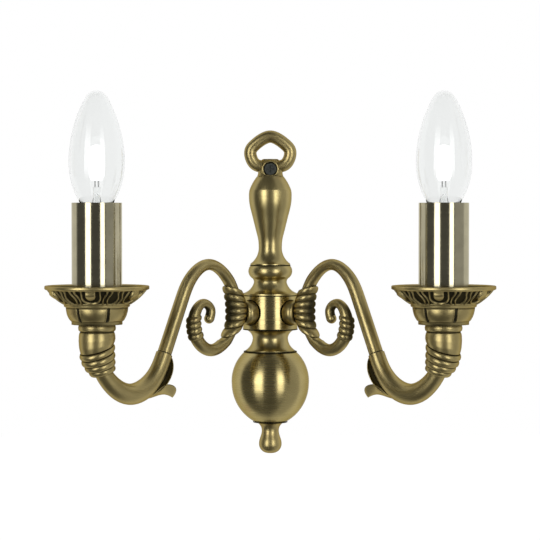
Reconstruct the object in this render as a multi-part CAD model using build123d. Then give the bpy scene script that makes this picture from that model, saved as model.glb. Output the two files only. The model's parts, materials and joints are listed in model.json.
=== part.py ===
"""Double arm wall sconce in antique brass, with two candle lamps.

Millimetres, +Z up. The wall is the plane y = 0 and the sconce stands out towards -Y.
The origin is on the wall, on the column's centreline, midway between the bracket's two
wall holes, which is also the height of the arms' stubs.

A turned column of stacked pieces, cut flat where it meets the wall, is clamped by a rod.
Two cast scroll arms leave the drum at ARM_AZIMUTH either side of the wall's normal, and each
carries an elbow casting, a drip pan, a lampholder, a sleeve and a candle lamp.
"""

from build123d import *
import os
from math import asin, atan2, cos, degrees, pi, radians, sin

# ---------------------------------------------------------------- driving dimensions
AXIS_TO_WALL = 8.0  # column axis to wall plane
WALL = 2.0  # thickness of the hollow column pieces
FLOOR = 2.5  # thickness of their floors and ceilings
CHANNEL_WIDTH = 11.0  # groove down the column's back for the wall bracket
CHANNEL_DEPTH = 3.6

# heights of the column's joints, from the top down
HANGER_BOTTOM = 90.8
BALUSTER_BOTTOM = 31.2
REEL_BOTTOM = 11.0
DRUM_BOTTOM = -11.7
COVE_BOTTOM = -26.6
BALL_BOTTOM = -73.9
FINIAL_BOTTOM = -94.8

DRUM_R = 18.3
BALL_R = 25.9
BALL_CENTRE = -48.7

ROD_R = 3.0  # M6
ROD_HOLE_R = 3.1
NUT_FLATS = 10.0
NUT_HEIGHT = 5.0

ARM_AZIMUTH = 48.0  # degrees between each arm's plane and the wall's normal
CANDLE_REACH = 144.8  # column axis to candle axis, along the arm's plane
STUB_R = 8.1
STUB_SEAT = 16.2  # where the stub's end face meets the drum's pocket
TAIL_R = 4.0  # M8
TAIL_END = 8.6

SCREW_HEIGHT = 95.5
WALL_HOLE_SPACING = 110.0
WALL_HOLE_R = 2.25
STRAP_WIDTH = 10.0
STRAP_THICK = 1.5

ELBOW_TOP = -3.2  # where the pan's foot stands on the elbow casting
PAN_FLOOR = 12.6  # where the candle sleeve stands in the pan
SLEEVE_TOP = 72.3
SLEEVE_R = 15.65
SLEEVE_WALL = 0.8
LAMP_TIP = 41.9
LAMP_TOP = 141.7

GAP = 0.02  # keeps curved faces of one body from crossing by a rounding error

os.makedirs("parts", exist_ok=True)


# ---------------------------------------------------------------- shared shapes
def upright(*edges):
    """A face in the (across, height) plane from the edges of its closed outline."""
    return make_face([Plane.XZ * edge for edge in edges])


def turned(*edges):
    """A solid turned about the Z axis from a closed outline of (radius, height) points."""
    return revolve(upright(*edges), Axis.Z)


def cylinder(radius, low, high):
    """A cylinder about the Z axis between two heights."""
    return Pos(0, 0, low) * Cylinder(radius, high - low, align=(Align.CENTER, Align.CENTER, Align.MIN))


def tube(outer_r, inner_r, low, high):
    """A plain tube about the Z axis."""
    return cylinder(outer_r, low, high) - cylinder(inner_r, low - 1, high + 1)


def block(low, high):
    """A box from its lowest corner to its highest."""
    size = [b - a for a, b in zip(low, high)]
    return Pos(*low) * Box(*size, align=(Align.MIN, Align.MIN, Align.MIN))


def along_y(shape, x, z, front):
    """Turns a shape built up the Z axis to point from y = front towards the wall."""
    return Pos(x, front, z) * Rot(X=-90) * shape


def hexagon_nut(flats, height, hole_r, low):
    """A hexagon nut about the Z axis."""
    body = extrude(RegularPolygon(flats / 2, 6, major_radius=False), height)
    return Pos(0, 0, low) * body - cylinder(hole_r, low - 1, low + height + 1)


def write(shape, name):
    """Writes one node's solids."""
    export_step(shape, f"parts/{name}.step")


# ---------------------------------------------------------------- the column
# Each contour runs from the top of its piece down, as edges of (radius, height) points.
# inset moves it inwards, which gives the inside of a hollow piece.
def arc(start, middle, end, inset=0.0):
    points = [(r - inset, z) for r, z in (start, middle, end)]
    return ThreePointArc(*points)


def line(start, end, inset=0.0):
    return Line((start[0] - inset, start[1]), (end[0] - inset, end[1]))


def curve(points, start_slope, end_slope, inset=0.0):
    moved = [(r - inset, z) for r, z in points]
    return Spline(*moved, tangents=(start_slope, end_slope))


def baluster_contour(inset=0.0):
    shoulder, belly, neck = (14.0, 81.6), (14.3, 77.0), (7.8, 44.3)
    return [
        arc((8.9, HANGER_BOTTOM), (11.9, 86.3), shoulder, inset),
        arc(shoulder, (14.3, 79.4), belly, inset),
        curve([belly, (12.2, 65.0), (9.2, 53.0), neck], (0, -1), (0, -1), inset),
        arc(neck, (9.1, 37.3), (13.3, 32.4), inset),
        line((13.3, 32.4), (13.3, BALUSTER_BOTTOM), inset),
    ]


def reel_contour(inset=0.0):
    waist, flange = (11.0, 19.8), (18.1, 12.6)
    return [
        arc((13.2, BALUSTER_BOTTOM), (14.7, 27.4), (12.4, 22.8), inset),
        arc((12.4, 22.8), (11.25, 21.4), waist, inset),
        arc(waist, (12.9, 16.0), flange, inset),
        line(flange, (18.1, REEL_BOTTOM), inset),
    ]


def cove_contour(inset=0.0):
    top, waist, foot = (17.4, DRUM_BOTTOM), (11.8, -17.6), (16.4, -25.6)
    return [
        arc(top, (13.2, -14.1), waist, inset),
        arc(waist, (13.0, -21.9), foot, inset),
        line(foot, (16.4, COVE_BOTTOM), inset),
    ]


def ball_contour(inset=0.0):
    """The ball is a little fuller above its widest ring than below it."""
    wide = (BALL_R, BALL_CENTRE)
    return [
        arc((17.3, COVE_BOTTOM), (23.0, -34.0), wide, inset),
        arc(wide, (20.2, -65.3), (10.2, BALL_BOTTOM), inset),
    ]


def turned_between(contour, inset, high, low):
    """The solid inside a contour, between two heights."""
    edges = contour(inset)
    start, end = edges[0] @ 0, edges[-1] @ 1
    closing = [
        Line((end.X, end.Y), (0, end.Y)),
        Line((0, end.Y), (0, start.Y)),
        Line((0, start.Y), (start.X, start.Y)),
    ]
    return turned(*edges, *closing) & cylinder(BALL_R + 5, low, high)


def column_piece(contour, high, low):
    """A hollow column piece about the column axis, cut flat and open where it meets the wall."""
    outside = turned_between(contour, 0.0, high, low)
    inside = turned_between(contour, WALL, high - FLOOR, low + FLOOR)
    hollow = outside - inside - cylinder(ROD_HOLE_R, low - 1, high + 1)
    return cut_for_wall(Pos(0, -AXIS_TO_WALL, 0) * hollow, low, high)


def cut_for_wall(shape, low, high):
    """Takes away what would be behind the wall plane, and the bracket's groove."""
    behind_wall = block((-60, 0, low - 30), (60, 60, high + 60))
    groove = block((-CHANNEL_WIDTH / 2, -CHANNEL_DEPTH, low - 1), (CHANNEL_WIDTH / 2, 1, high + 1))
    return shape - behind_wall - groove


def on_column(shape):
    return Pos(0, -AXIS_TO_WALL, 0) * shape


# ring hanger: a rounded five-sided loop of round bar on a flared foot
RING_BAR_R = 4.15
RING_CORNERS = [(0, 118.6), (14.6, 109.6), (10.9, 97.5), (-10.9, 97.5), (-14.6, 109.6)]
RING_RADII = [6.5, 6.0, 5.0, 5.0, 6.0]
# the foot's height, half width and half depth, from the baluster up into the loop
HANGER_FOOT = [
    (HANGER_BOTTOM, 8.6, 7.6),
    (93.4, 8.5, 6.0),
    (96.6, 9.8, RING_BAR_R + 0.4),
    (101.0, 7.4, RING_BAR_R - 0.5),
    (103.6, 2.6, RING_BAR_R - 1.4),
]
BOSS_R = 5.7
BOSS_FRONT = -15.4
SCREW_HEAD_R = 4.45
SCREW_HEAD_THICK = 2.2
SCREW_SEAT = -13.4  # the recess's floor, under the screw's head
SPIGOT_END = 80.0


def ring_hanger():
    path = Plane.XZ * FilletPolyline(*RING_CORNERS, radius=RING_RADII, close=True)
    start = Plane(path @ 0, z_dir=path % 0)
    loop = sweep(start * Circle(RING_BAR_R), path=path)
    foot = loft([Pos(0, 0, height) * Ellipse(across, deep) for height, across, deep in HANGER_FOOT])
    body = on_column(loop + foot)
    boss = along_y(cylinder(BOSS_R, 0, -BOSS_FRONT), 0, SCREW_HEIGHT, BOSS_FRONT)
    boss &= block((-20, -40, HANGER_BOTTOM), (20, 40, 130))
    recess = along_y(cylinder(SCREW_HEAD_R + 0.25, 0, SCREW_SEAT - BOSS_FRONT), 0, SCREW_HEIGHT, BOSS_FRONT)
    hole = along_y(cylinder(2.2, 0, 40), 0, SCREW_HEIGHT, BOSS_FRONT)
    spigot = on_column(cylinder(ROD_R, SPIGOT_END, HANGER_BOTTOM + 1))
    solid = cut_for_wall(body + boss - recess - hole, HANGER_BOTTOM, 130)
    return solid + spigot


def fixing_screw():
    """Pan head with a cross recess, and a shank that ends in the bracket's tapped collar."""
    head = cylinder(SCREW_HEAD_R, 0, SCREW_HEAD_THICK)
    head = chamfer(head.edges().group_by(Axis.Z)[0], 0.7)
    shank = cylinder(2.0, SCREW_HEAD_THICK, -SCREW_SEAT + SCREW_HEAD_THICK - 0.2)
    slot = block((-2.4, -0.45, -0.1), (2.4, 0.45, 1.2))
    cross = slot + Rot(Z=90) * slot
    return along_y(head + shank - cross, 0, SCREW_HEIGHT, SCREW_SEAT - SCREW_HEAD_THICK)


def finial():
    """The drop under the ball: a flat cap, a waist and a rounded bulb, with its spigot."""
    waist, bulb = (5.7, -79.6), (7.6, -88.6)
    drop = turned(
        Line((0, BALL_BOTTOM), (9.9, BALL_BOTTOM)),
        ThreePointArc((9.9, BALL_BOTTOM), (6.7, -76.3), waist),
        Spline(waist, (6.3, -83.0), bulb, tangents=((0, -1), (0, -1))),
        ThreePointArc(bulb, (6.2, -92.6), (1.8, FINIAL_BOTTOM)),
        Line((1.8, FINIAL_BOTTOM), (0, FINIAL_BOTTOM)),
        Line((0, FINIAL_BOTTOM), (0, BALL_BOTTOM)),
    )
    spigot = cylinder(ROD_R, BALL_BOTTOM - 1, BALL_BOTTOM + FLOOR + NUT_HEIGHT + 1.5)
    clear_of_wall = block((-60, -60, FINIAL_BOTTOM - 1), (60, 0, BALL_BOTTOM))
    return (on_column(drop) & clear_of_wall) + on_column(spigot)


ARM_AXES = [90 - ARM_AZIMUTH, 90 + ARM_AZIMUTH]  # turn below +X, for the right and left arms


def radial(shape, turn):
    """Turns a shape built up the Z axis to run outwards from the column axis at z = 0."""
    return on_column(Rot(Z=-turn) * Rot(Y=90) * shape)


DRUM_BORE_R = 11.0
NUT_SEAT = 12.6  # where each arm's nut bears inside the drum
ARM_NUT_FLATS = 12.0
ARM_NUT_HEIGHT = 3.0


def hub_drum():
    """A thick drum with a stepped pocket and a hole for each arm, and a seat for its nut inside."""
    lip = 0.8
    lip_top = (DRUM_R, DRUM_BOTTOM + lip)
    lip_foot = (DRUM_R - lip, DRUM_BOTTOM)
    drum = turned(
        Line((DRUM_BORE_R, REEL_BOTTOM), (DRUM_R, REEL_BOTTOM)),
        Line((DRUM_R, REEL_BOTTOM), lip_top),
        ThreePointArc(lip_top, (DRUM_R - 0.3, DRUM_BOTTOM + 0.3), lip_foot),
        Line(lip_foot, (DRUM_BORE_R, DRUM_BOTTOM)),
        Line((DRUM_BORE_R, DRUM_BOTTOM), (DRUM_BORE_R, REEL_BOTTOM)),
    )
    drum = cut_for_wall(on_column(drum), DRUM_BOTTOM, REEL_BOTTOM)
    for turn in ARM_AXES:
        drum -= radial(cylinder(STUB_R + 0.5, STUB_SEAT, DRUM_R + 2), turn)
        drum -= radial(cylinder(TAIL_R + 0.2, 0, DRUM_R + 2), turn)
        drum -= radial(cylinder(ARM_NUT_FLATS / 2 + 1.4, 6, NUT_SEAT), turn)
    return drum


def column_nuts():
    """One nut at each end of the clamp rod, one on the hanger's spigot and one on the finial's."""
    lows = [
        BALUSTER_BOTTOM + FLOOR,
        COVE_BOTTOM - FLOOR - NUT_HEIGHT,
        HANGER_BOTTOM - FLOOR - NUT_HEIGHT,
        BALL_BOTTOM + FLOOR,
    ]
    return [on_column(hexagon_nut(NUT_FLATS, NUT_HEIGHT, ROD_R + GAP, low)) for low in lows]


def clamp_rod():
    top = BALUSTER_BOTTOM + FLOOR + NUT_HEIGHT + 1.5
    bottom = COVE_BOTTOM - FLOOR - NUT_HEIGHT - 1.5
    return on_column(cylinder(ROD_R, bottom, top))


# ---------------------------------------------------------------- wall bracket and terminals
STRAP_TOP = 101.0
STRAP_BOTTOM = -60.4
HOOK_STEP = 2.0  # how far the hook stands in front of the strap
HOOK_END = -66.2
LIP_TOP = -62.4  # the ball's back lip, which the hook holds against the wall
COLLAR_R = 3.6
COLLAR_FRONT = -3.4
EARTH_HEIGHT = 71.0
TERMINAL_LOW = -53.0
TERMINAL_HIGH = -39.5
TERMINAL_SCREW_XS = [-9.5, 0.0, 9.5]


def wall_bracket():
    """A flat strap with two wall holes, a tapped collar at the top and a bent hook at the bottom."""
    half = STRAP_WIDTH / 2
    strap = block((-half, -STRAP_THICK, STRAP_BOTTOM), (half, 0, STRAP_TOP))
    strap = fillet(strap.edges().filter_by(Axis.Y).group_by(Axis.Z)[-1], half - 0.5)
    step = block((-half, -STRAP_THICK - HOOK_STEP, STRAP_BOTTOM), (half, 0, STRAP_BOTTOM + STRAP_THICK))
    hook = block((-half, -STRAP_THICK - HOOK_STEP, HOOK_END), (half, -HOOK_STEP, STRAP_BOTTOM + STRAP_THICK))
    collar = along_y(cylinder(COLLAR_R, 0, -COLLAR_FRONT), 0, SCREW_HEIGHT, COLLAR_FRONT)
    bracket = strap + step + hook + collar
    bracket -= along_y(cylinder(2.0 + GAP, -1, 10), 0, SCREW_HEIGHT, COLLAR_FRONT)
    bracket -= along_y(cylinder(1.6, -1, 10), 0, EARTH_HEIGHT, -STRAP_THICK)
    for height in (-WALL_HOLE_SPACING / 2, WALL_HOLE_SPACING / 2):
        bracket -= along_y(cylinder(WALL_HOLE_R, -1, 10), 0, height, -STRAP_THICK)
    return bracket


def ball():
    """The hollow ball, open at the wall, with a lip across the foot of the opening for the hook."""
    shell = turned_between(ball_contour, 0.0, COVE_BOTTOM, BALL_BOTTOM)
    core = turned_between(ball_contour, WALL, COVE_BOTTOM - FLOOR, BALL_BOTTOM + FLOOR)
    shell -= core + cylinder(ROD_HOLE_R, BALL_BOTTOM - 1, COVE_BOTTOM + 1)
    lip = turned_between(ball_contour, 0.0, LIP_TOP, BALL_BOTTOM) & block((-30, 6.5, -80), (30, 8, 0))
    groove = block((-CHANNEL_WIDTH / 2, -CHANNEL_DEPTH, COVE_BOTTOM - 5), (CHANNEL_WIDTH / 2, 1, 0))
    behind_wall = block((-60, 0, -90), (60, 60, 0))
    return on_column(shell + lip) - groove - behind_wall


def terminal_block():
    """Three ways side by side, each with a lead hole from below and one from above."""
    front = -STRAP_THICK - 11.0
    body = block((-14.5, front, TERMINAL_LOW), (14.5, -STRAP_THICK, TERMINAL_HIGH))
    body = fillet(body.edges().filter_by(Axis.Z), 1.2)
    for x in TERMINAL_SCREW_XS:
        body -= Pos(x, -STRAP_THICK - 5.0, 0) * cylinder(1.9, TERMINAL_LOW - 1, TERMINAL_HIGH + 1)
        for z in (TERMINAL_LOW + 3.6, TERMINAL_HIGH - 3.6):
            body -= along_y(cylinder(1.7, -1, 5.0), x, z, front)
    for before, after in zip(TERMINAL_SCREW_XS, TERMINAL_SCREW_XS[1:]):
        x = (before + after) / 2
        body -= block((x - 0.8, front - 1, TERMINAL_LOW - 1), (x + 0.8, front + 3.5, TERMINAL_HIGH + 1))
    return body


def terminal_screws():
    """Six slotted grub screws, two in each way of the block."""
    front = -STRAP_THICK - 11.0
    screws = []
    for x in TERMINAL_SCREW_XS:
        for z in (TERMINAL_LOW + 3.6, TERMINAL_HIGH - 3.6):
            slotted = cylinder(1.6, 0.8, 4.2) - block((-2, -0.25, 0), (2, 0.25, 1.5))
            screws.append(along_y(slotted, x, z, front))
    return screws


def earth_screw():
    head = cylinder(2.9, 0, 1.8) - block((-4, -0.4, -1), (4, 0.4, 0.7))
    shank = cylinder(1.55, 1.8, 1.8 + 0.8 + STRAP_THICK)
    return along_y(head + shank, 0, EARTH_HEIGHT, -STRAP_THICK - 0.8 - 1.8)


def earth_washer():
    return along_y(tube(4.0, 1.6, 0, 0.8), 0, EARTH_HEIGHT, -STRAP_THICK - 0.8)


# ---------------------------------------------------------------- the arms
# An arm is built in its own plane: X is the distance out from the column axis and Z the height.
def placed(shape):
    """Puts a shape built in the arm's plane where the right arm is."""
    return on_column(Rot(Z=-(90 - ARM_AZIMUTH)) * shape)


def tapered_bar(points, diameters, start=None, end=None):
    """A round bar through (reach, height) points whose diameter changes from point to point."""
    slopes = {"tangents": (start, end)} if start and end else {}
    path = Plane.XZ * Spline(*points, **slopes)
    sections = []
    for point, diameter in zip(points, diameters):
        here = path.param_at_point((point[0], 0, point[1]))
        plane = Plane(path @ here, x_dir=(0, 1, 0), z_dir=path % here)
        sections.append(plane * Circle(diameter / 2))
    return loft(sections)


# the rope-twisted back of the scroll: bosses in planes that fan out from a line near the column
ROPE_CENTRE = (51.1, 3.6)
ROPE_ARC_R = 21.0
ROPE_FAN_REACH = -23.0  # where the fan's planes would meet, beyond the column
ROPE_FAN_HEIGHT = 2.0
ROPE_STRANDS = 7
ROPE_FAN = (12.4, -13.0)  # slope of the first and last strand, in degrees
ROPE_MIDDLE_R = 7.4
ROPE_END_R = 6.3
SMALL_ROPE_STRANDS = 4


def strand(reach, height, slope, radius, thick):
    """One bulging turn of the rope: a disc with a rounded rim, square to its sloping plane."""
    bulge = thick * 0.32
    half = thick / 2
    disc = turned(
        Line((0, -half), (radius - bulge, -half)),
        ThreePointArc((radius - bulge, -half), (radius, 0), (radius - bulge, half)),
        Line((radius - bulge, half), (0, half)),
        Line((0, half), (0, -half)),
    )
    return Pos(reach, 0, height) * Rot(Y=-slope) * disc


def rope_back():
    """The strands where the fan's planes cross the rope's arc, thickest at the middle."""
    strands = []
    first, last = ROPE_FAN
    for i in range(ROPE_STRANDS):
        share = i / (ROPE_STRANDS - 1)
        slope = first + (last - first) * share
        reach, height = fan_crossing(slope)
        radius = ROPE_END_R + (ROPE_MIDDLE_R - ROPE_END_R) * sin(pi * share)
        thick = (reach - ROPE_FAN_REACH) * radians((first - last) / (ROPE_STRANDS - 1)) * 1.12
        strands.append(strand(reach, height, slope, radius, thick))
    return strands


def fan_crossing(slope):
    """Where a fan plane of this slope meets the rope's arc on its side nearer the column."""
    across, up = cos(radians(slope)), sin(radians(slope))
    to_centre = (ROPE_CENTRE[0] - ROPE_FAN_REACH, ROPE_CENTRE[1] - ROPE_FAN_HEIGHT)
    along = to_centre[0] * across + to_centre[1] * up
    aside = to_centre[0] * up - to_centre[1] * across
    distance = along - (ROPE_ARC_R**2 - aside**2) ** 0.5
    return ROPE_FAN_REACH + distance * across, ROPE_FAN_HEIGHT + distance * up


def small_rope():
    """Four sloping turns on the scroll's outer side."""
    strands = []
    low, high = (64.9, -13.4), (66.2, -2.6)
    for i in range(SMALL_ROPE_STRANDS):
        share = i / (SMALL_ROPE_STRANDS - 1)
        bow = 0.7 * sin(pi * share)
        reach = low[0] + (high[0] - low[0]) * share + bow
        height = low[1] + (high[1] - low[1]) * share
        strands.append(strand(reach, height, -21 + 11 * share, 5.1, 4.1))
    return strands


# centrelines, as (reach, height), each with the bar's diameter there
SEAM = (91.3, -24.0)  # where the arm meets the elbow casting
SEAM_SLOPE = (0.44, -0.9)
ARCH_POINTS = [(33.6, 12.0), (38.4, 23.6), (54.2, 32.6), (70.0, 22.8), (76.8, 10.1), (84.9, -8.9), SEAM]
ARCH_DIAMETERS = [8.8, 8.0, 7.3, 8.5, 8.9, 9.1, 9.2]
LOWER_POINTS = [
    (34.6, -9.0),
    (40.6, -17.9),
    (52.0, -23.3),
    (62.4, -17.9),
    (66.6, -8.0),
    (65.3, 2.9),
    (58.6, 8.1),
    (52.0, 4.2),
    (53.4, -2.4),
]
LOWER_DIAMETERS = [8.8, 8.3, 8.0, 8.4, 8.4, 7.0, 4.6, 4.4, 4.8]
END_BALL = (54.0, 0, -2.6)
END_BALL_R = 3.2
ELBOW_POINTS = [
    SEAM,
    (96.2, -34.2),
    (104.4, -43.4),
    (118.9, -48.2),
    (133.6, -41.2),
    (141.2, -31.4),
    (CANDLE_REACH, -20.0),
]
ELBOW_DIAMETERS = [10.1, 11.2, 12.8, 13.5, 11.8, 10.6, 10.6]


def arm_scroll():
    """Stub, threaded tail, rope back, upper arch and lower scroll, cast in one."""
    arch = tapered_bar(ARCH_POINTS, ARCH_DIAMETERS, start=(0.35, 0.94), end=SEAM_SLOPE)
    lower = tapered_bar(LOWER_POINTS, LOWER_DIAMETERS)
    end_ball = Pos(*END_BALL) * Sphere(END_BALL_R)
    stub = Rot(Y=90) * cylinder(STUB_R, STUB_SEAT, 29.0)
    tail = Rot(Y=90) * tube(TAIL_R, 2.2, TAIL_END, STUB_SEAT + 1)
    casting = arch + lower + end_ball + stub
    for turn in rope_back() + small_rope():
        casting += turn
    return placed(casting + tail)


def leaf():
    """A thin cast leaf on the elbow's inner side that forks into an upright and a drooping tip."""
    root = 104.0
    upright_tip = upright(
        Spline((root, -51.4), (93.4, -46.0), (86.4, -38.2), (84.4, -29.4)),
        Line((84.4, -29.4), (85.4, -29.2)),
        Spline((85.4, -29.2), (88.2, -38.0), (95.0, -44.4), (root, -47.4)),
        Line((root, -47.4), (root, -51.4)),
    )
    drooping_tip = upright(
        Spline((root, -53.2), (93.2, -49.2), (87.6, -48.9), (83.8, -51.2)),
        Line((83.8, -51.2), (82.6, -47.2)),
        Spline((82.6, -47.2), (86.6, -44.6), (94.0, -46.6), (root, -49.6)),
        Line((root, -49.6), (root, -53.2)),
    )
    tip, tail, middle, half = (81.6, 0), (108.0, 0), 94.5, 5.4
    plan = make_face([ThreePointArc(tip, (middle, half), tail), ThreePointArc(tail, (middle, -half), tip)])
    blade = extrude(upright_tip, 6, both=True) + extrude(drooping_tip, 6, both=True)
    return blade & extrude(Pos(0, 0, -60) * plan, 40)


# reach, height, slope and radius of the rope turns that lead from the vase into the bend
SOCLE_STRANDS = [
    (144.5, -19.4, -13, 11.6),
    (144.1, -23.6, -17, 11.1),
    (143.3, -27.6, -22, 9.6),
    (142.2, -31.2, -28, 7.6),
]


def socle():
    """Under the pan: collar ring, groove, small vase and a rope collar, about the candle axis."""
    vase_low = -19.0
    body = turned(
        Line((0, ELBOW_TOP), (11.2, ELBOW_TOP)),
        ThreePointArc((11.2, ELBOW_TOP), (11.6, -5.2), (11.3, -7.2)),
        ThreePointArc((11.3, -7.2), (10.8, -7.9), (10.9, -8.8)),
        ThreePointArc((10.9, -8.8), (11.2, -12.6), (10.3, vase_low)),
        Line((10.3, vase_low), (0, vase_low)),
        Line((0, vase_low), (0, ELBOW_TOP)),
    )
    body = Pos(CANDLE_REACH, 0, 0) * body
    for reach, height, slope, radius in SOCLE_STRANDS:
        body += strand(reach, height, slope, radius, 4.9)
    return body


def arm_elbow():
    """The elbow casting: swept bend, leaf and socle, bored for the nipple."""
    bend = tapered_bar(ELBOW_POINTS, ELBOW_DIAMETERS, start=SEAM_SLOPE, end=(0.22, 0.975))
    casting = bend + leaf() + socle()
    bore = Pos(CANDLE_REACH, 0, 0) * cylinder(NIPPLE_R + GAP, NIPPLE_LOW, 10)
    return placed(casting - bore)


def arm_nut():
    nut = hexagon_nut(ARM_NUT_FLATS, ARM_NUT_HEIGHT, TAIL_R + GAP, NUT_SEAT - ARM_NUT_HEIGHT)
    return placed(Rot(Y=90) * nut)


# ---------------------------------------------------------------- candle group, about the candle axis
NIPPLE_R = 5.0  # M10
NIPPLE_BORE_R = 3.5
NIPPLE_LOW = -14.0
NIPPLE_HIGH = 20.0
RIM_R = 32.5
BOWL_R = 18.9
PAN_FOOT_R = 15.8
PAN_REPEATS = 6  # lobes of the bowl and tongues of the dish
HOLDER_LOW = 14.5
HOLDER_HIGH = 61.0
HOLDER_R = 12.6
HOLDER_WELL = 38.4  # the floor of the hole that takes the lamp's cap
CAP_R = 6.8
SHELL_OUTER_R = 7.6
SHELL_INNER_R = 7.0
GLASS_THICK = 0.7
WIDEST_R = 17.4
WIDEST_HEIGHT = 97.0
BELLY_R = 48.0  # the arc below the widest place
TIP_R = 7.8
TIP_RISE = LAMP_TOP - TIP_R - WIDEST_HEIGHT
FLANK_R = (WIDEST_R**2 + TIP_RISE**2 - TIP_R**2) / (2 * (WIDEST_R - TIP_R))  # runs smoothly into the tip
FLANK_ANGLE = degrees(asin(TIP_RISE / (FLANK_R - TIP_R)))
NECK_R = 6.9
GLASS_LOW = 64.0


def nipple():
    return tube(NIPPLE_R, NIPPLE_BORE_R, NIPPLE_LOW, NIPPLE_HIGH)


def pan_nut():
    return hexagon_nut(14.0, 3.0, NIPPLE_R + GAP, ELBOW_TOP + 3.0)


def drip_pan():
    """A shallow dish on a bowl of grooved lobes, hollow inside, with a ridge between them."""
    body = turned(
        Line((NIPPLE_R + 0.1, ELBOW_TOP), (PAN_FOOT_R, ELBOW_TOP)),
        Line((PAN_FOOT_R, ELBOW_TOP), (PAN_FOOT_R, ELBOW_TOP + 1.8)),
        ThreePointArc((PAN_FOOT_R, ELBOW_TOP + 1.8), (17.8, 2.2), (BOWL_R, 6.4)),
        Line((BOWL_R, 6.4), (19.4, 6.5)),
        ThreePointArc((19.4, 6.5), (20.4, 7.6), (19.6, 8.7)),
        Line((19.6, 8.7), (21.2, 9.0)),
        ThreePointArc((21.2, 9.0), (26.3, 12.6), (30.8, 17.6)),
        Line((30.8, 17.6), (31.8, 17.9)),
        ThreePointArc((31.8, 17.9), (RIM_R, 19.4), (31.8, 20.9)),
        Line((31.8, 20.9), (30.4, 20.7)),
        ThreePointArc((30.4, 20.7), (25.8, 15.8), (20.6, PAN_FLOOR)),
        Line((20.6, PAN_FLOOR), (13.4, PAN_FLOOR)),
        Line((13.4, PAN_FLOOR), (13.4, ELBOW_TOP + 3.0)),
        Line((13.4, ELBOW_TOP + 3.0), (NIPPLE_R + 0.1, ELBOW_TOP + 3.0)),
        Line((NIPPLE_R + 0.1, ELBOW_TOP + 3.0), (NIPPLE_R + 0.1, ELBOW_TOP)),
    )
    groove = block((BOWL_R - 2.2, -0.7, ELBOW_TOP + 2.2), (BOWL_R + 3, 0.7, 6.2))
    for i in range(PAN_REPEATS):
        body -= Rot(Z=360 / PAN_REPEATS * (i + 0.5)) * groove
        body += Rot(Z=360 / PAN_REPEATS * i) * pan_tongue()
    return body


def pan_tongue():
    """A raised U-shaped tongue on the dish's sloping underside."""
    low, high = (22.6, 8.8), (29.9, 15.6)
    slope = degrees(atan2(high[1] - low[1], high[0] - low[0]))
    length = ((high[0] - low[0]) ** 2 + (high[1] - low[1]) ** 2) ** 0.5
    flat = SlotOverall(length, 5.2)
    middle = Pos((low[0] + high[0]) / 2, 0, (low[1] + high[1]) / 2)
    return middle * Rot(Y=-slope) * extrude(flat, 2.6)


def candle_sleeve():
    return tube(SLEEVE_R, SLEEVE_R - SLEEVE_WALL, PAN_FLOOR, SLEEVE_TOP)


def lampholder():
    """The insulating body: threaded foot, shoulder, barrel, and the well for the lamp's cap."""
    body = turned(
        Line((NIPPLE_R + GAP, HOLDER_LOW), (8.0, HOLDER_LOW)),
        Line((8.0, HOLDER_LOW), (8.0, HOLDER_LOW + 4.0)),
        Line((8.0, HOLDER_LOW + 4.0), (HOLDER_R, HOLDER_LOW + 7.5)),
        Line((HOLDER_R, HOLDER_LOW + 7.5), (HOLDER_R, HOLDER_HIGH - 2.0)),
        Line((HOLDER_R, HOLDER_HIGH - 2.0), (HOLDER_R - 1.2, HOLDER_HIGH)),
        Line((HOLDER_R - 1.2, HOLDER_HIGH), (SHELL_OUTER_R + GAP, HOLDER_HIGH)),
        Line((SHELL_OUTER_R + GAP, HOLDER_HIGH), (SHELL_OUTER_R + GAP, HOLDER_WELL)),
        Line((SHELL_OUTER_R + GAP, HOLDER_WELL), (0, HOLDER_WELL)),
        Line((0, HOLDER_WELL), (0, HOLDER_WELL - 6.0)),
        Line((0, HOLDER_WELL - 6.0), (NIPPLE_R + GAP, HOLDER_WELL - 6.0)),
        Line((NIPPLE_R + GAP, HOLDER_WELL - 6.0), (NIPPLE_R + GAP, HOLDER_LOW)),
    )
    return body


def lampholder_shell():
    return tube(SHELL_OUTER_R, SHELL_INNER_R, HOLDER_WELL + 2.6, HOLDER_HIGH - 0.6)


def lampholder_contact():
    """A bent brass tongue on the well's floor that the lamp's tip presses on."""
    half = 2.0
    foot = block((-5.4, -half, HOLDER_WELL), (1.0, half, HOLDER_WELL + 0.6))
    rise = block((0.4, -half, HOLDER_WELL), (1.0, half, LAMP_TIP - 0.3))
    pad = block((-2.4, -half, LAMP_TIP - 0.9), (1.0, half, LAMP_TIP - 0.3))
    return foot + rise + pad


def meridian(centre, radius, angle):
    """A point on a circle in the (radius, height) plane."""
    return (centre[0] + radius * cos(radians(angle)), centre[1] + radius * sin(radians(angle)))


def bulb_profile(inset):
    """The envelope's outline from the neck up to the tip: a belly arc, a flank arc and a round tip."""
    arcs = [
        ((WIDEST_R - BELLY_R, WIDEST_HEIGHT), BELLY_R - inset, (-33.5, -16.5, 0)),
        ((WIDEST_R - FLANK_R, WIDEST_HEIGHT), FLANK_R - inset, (0, FLANK_ANGLE / 2, FLANK_ANGLE)),
        ((0, LAMP_TOP - TIP_R), TIP_R - inset, (FLANK_ANGLE, 60.0, 90.0)),
    ]
    edges = []
    for centre, radius, angles in arcs:
        edges.append(ThreePointArc(*[meridian(centre, radius, angle) for angle in angles]))
    shoulder = edges[0] @ 0
    throat = (NECK_R - inset, GLASS_LOW + 2.0)
    neck = [
        Line((throat[0], GLASS_LOW), throat),
        ThreePointArc(throat, (NECK_R + 0.55 - inset, throat[1] + 2.1), (shoulder.X, shoulder.Y)),
    ]
    return neck + edges


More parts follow.
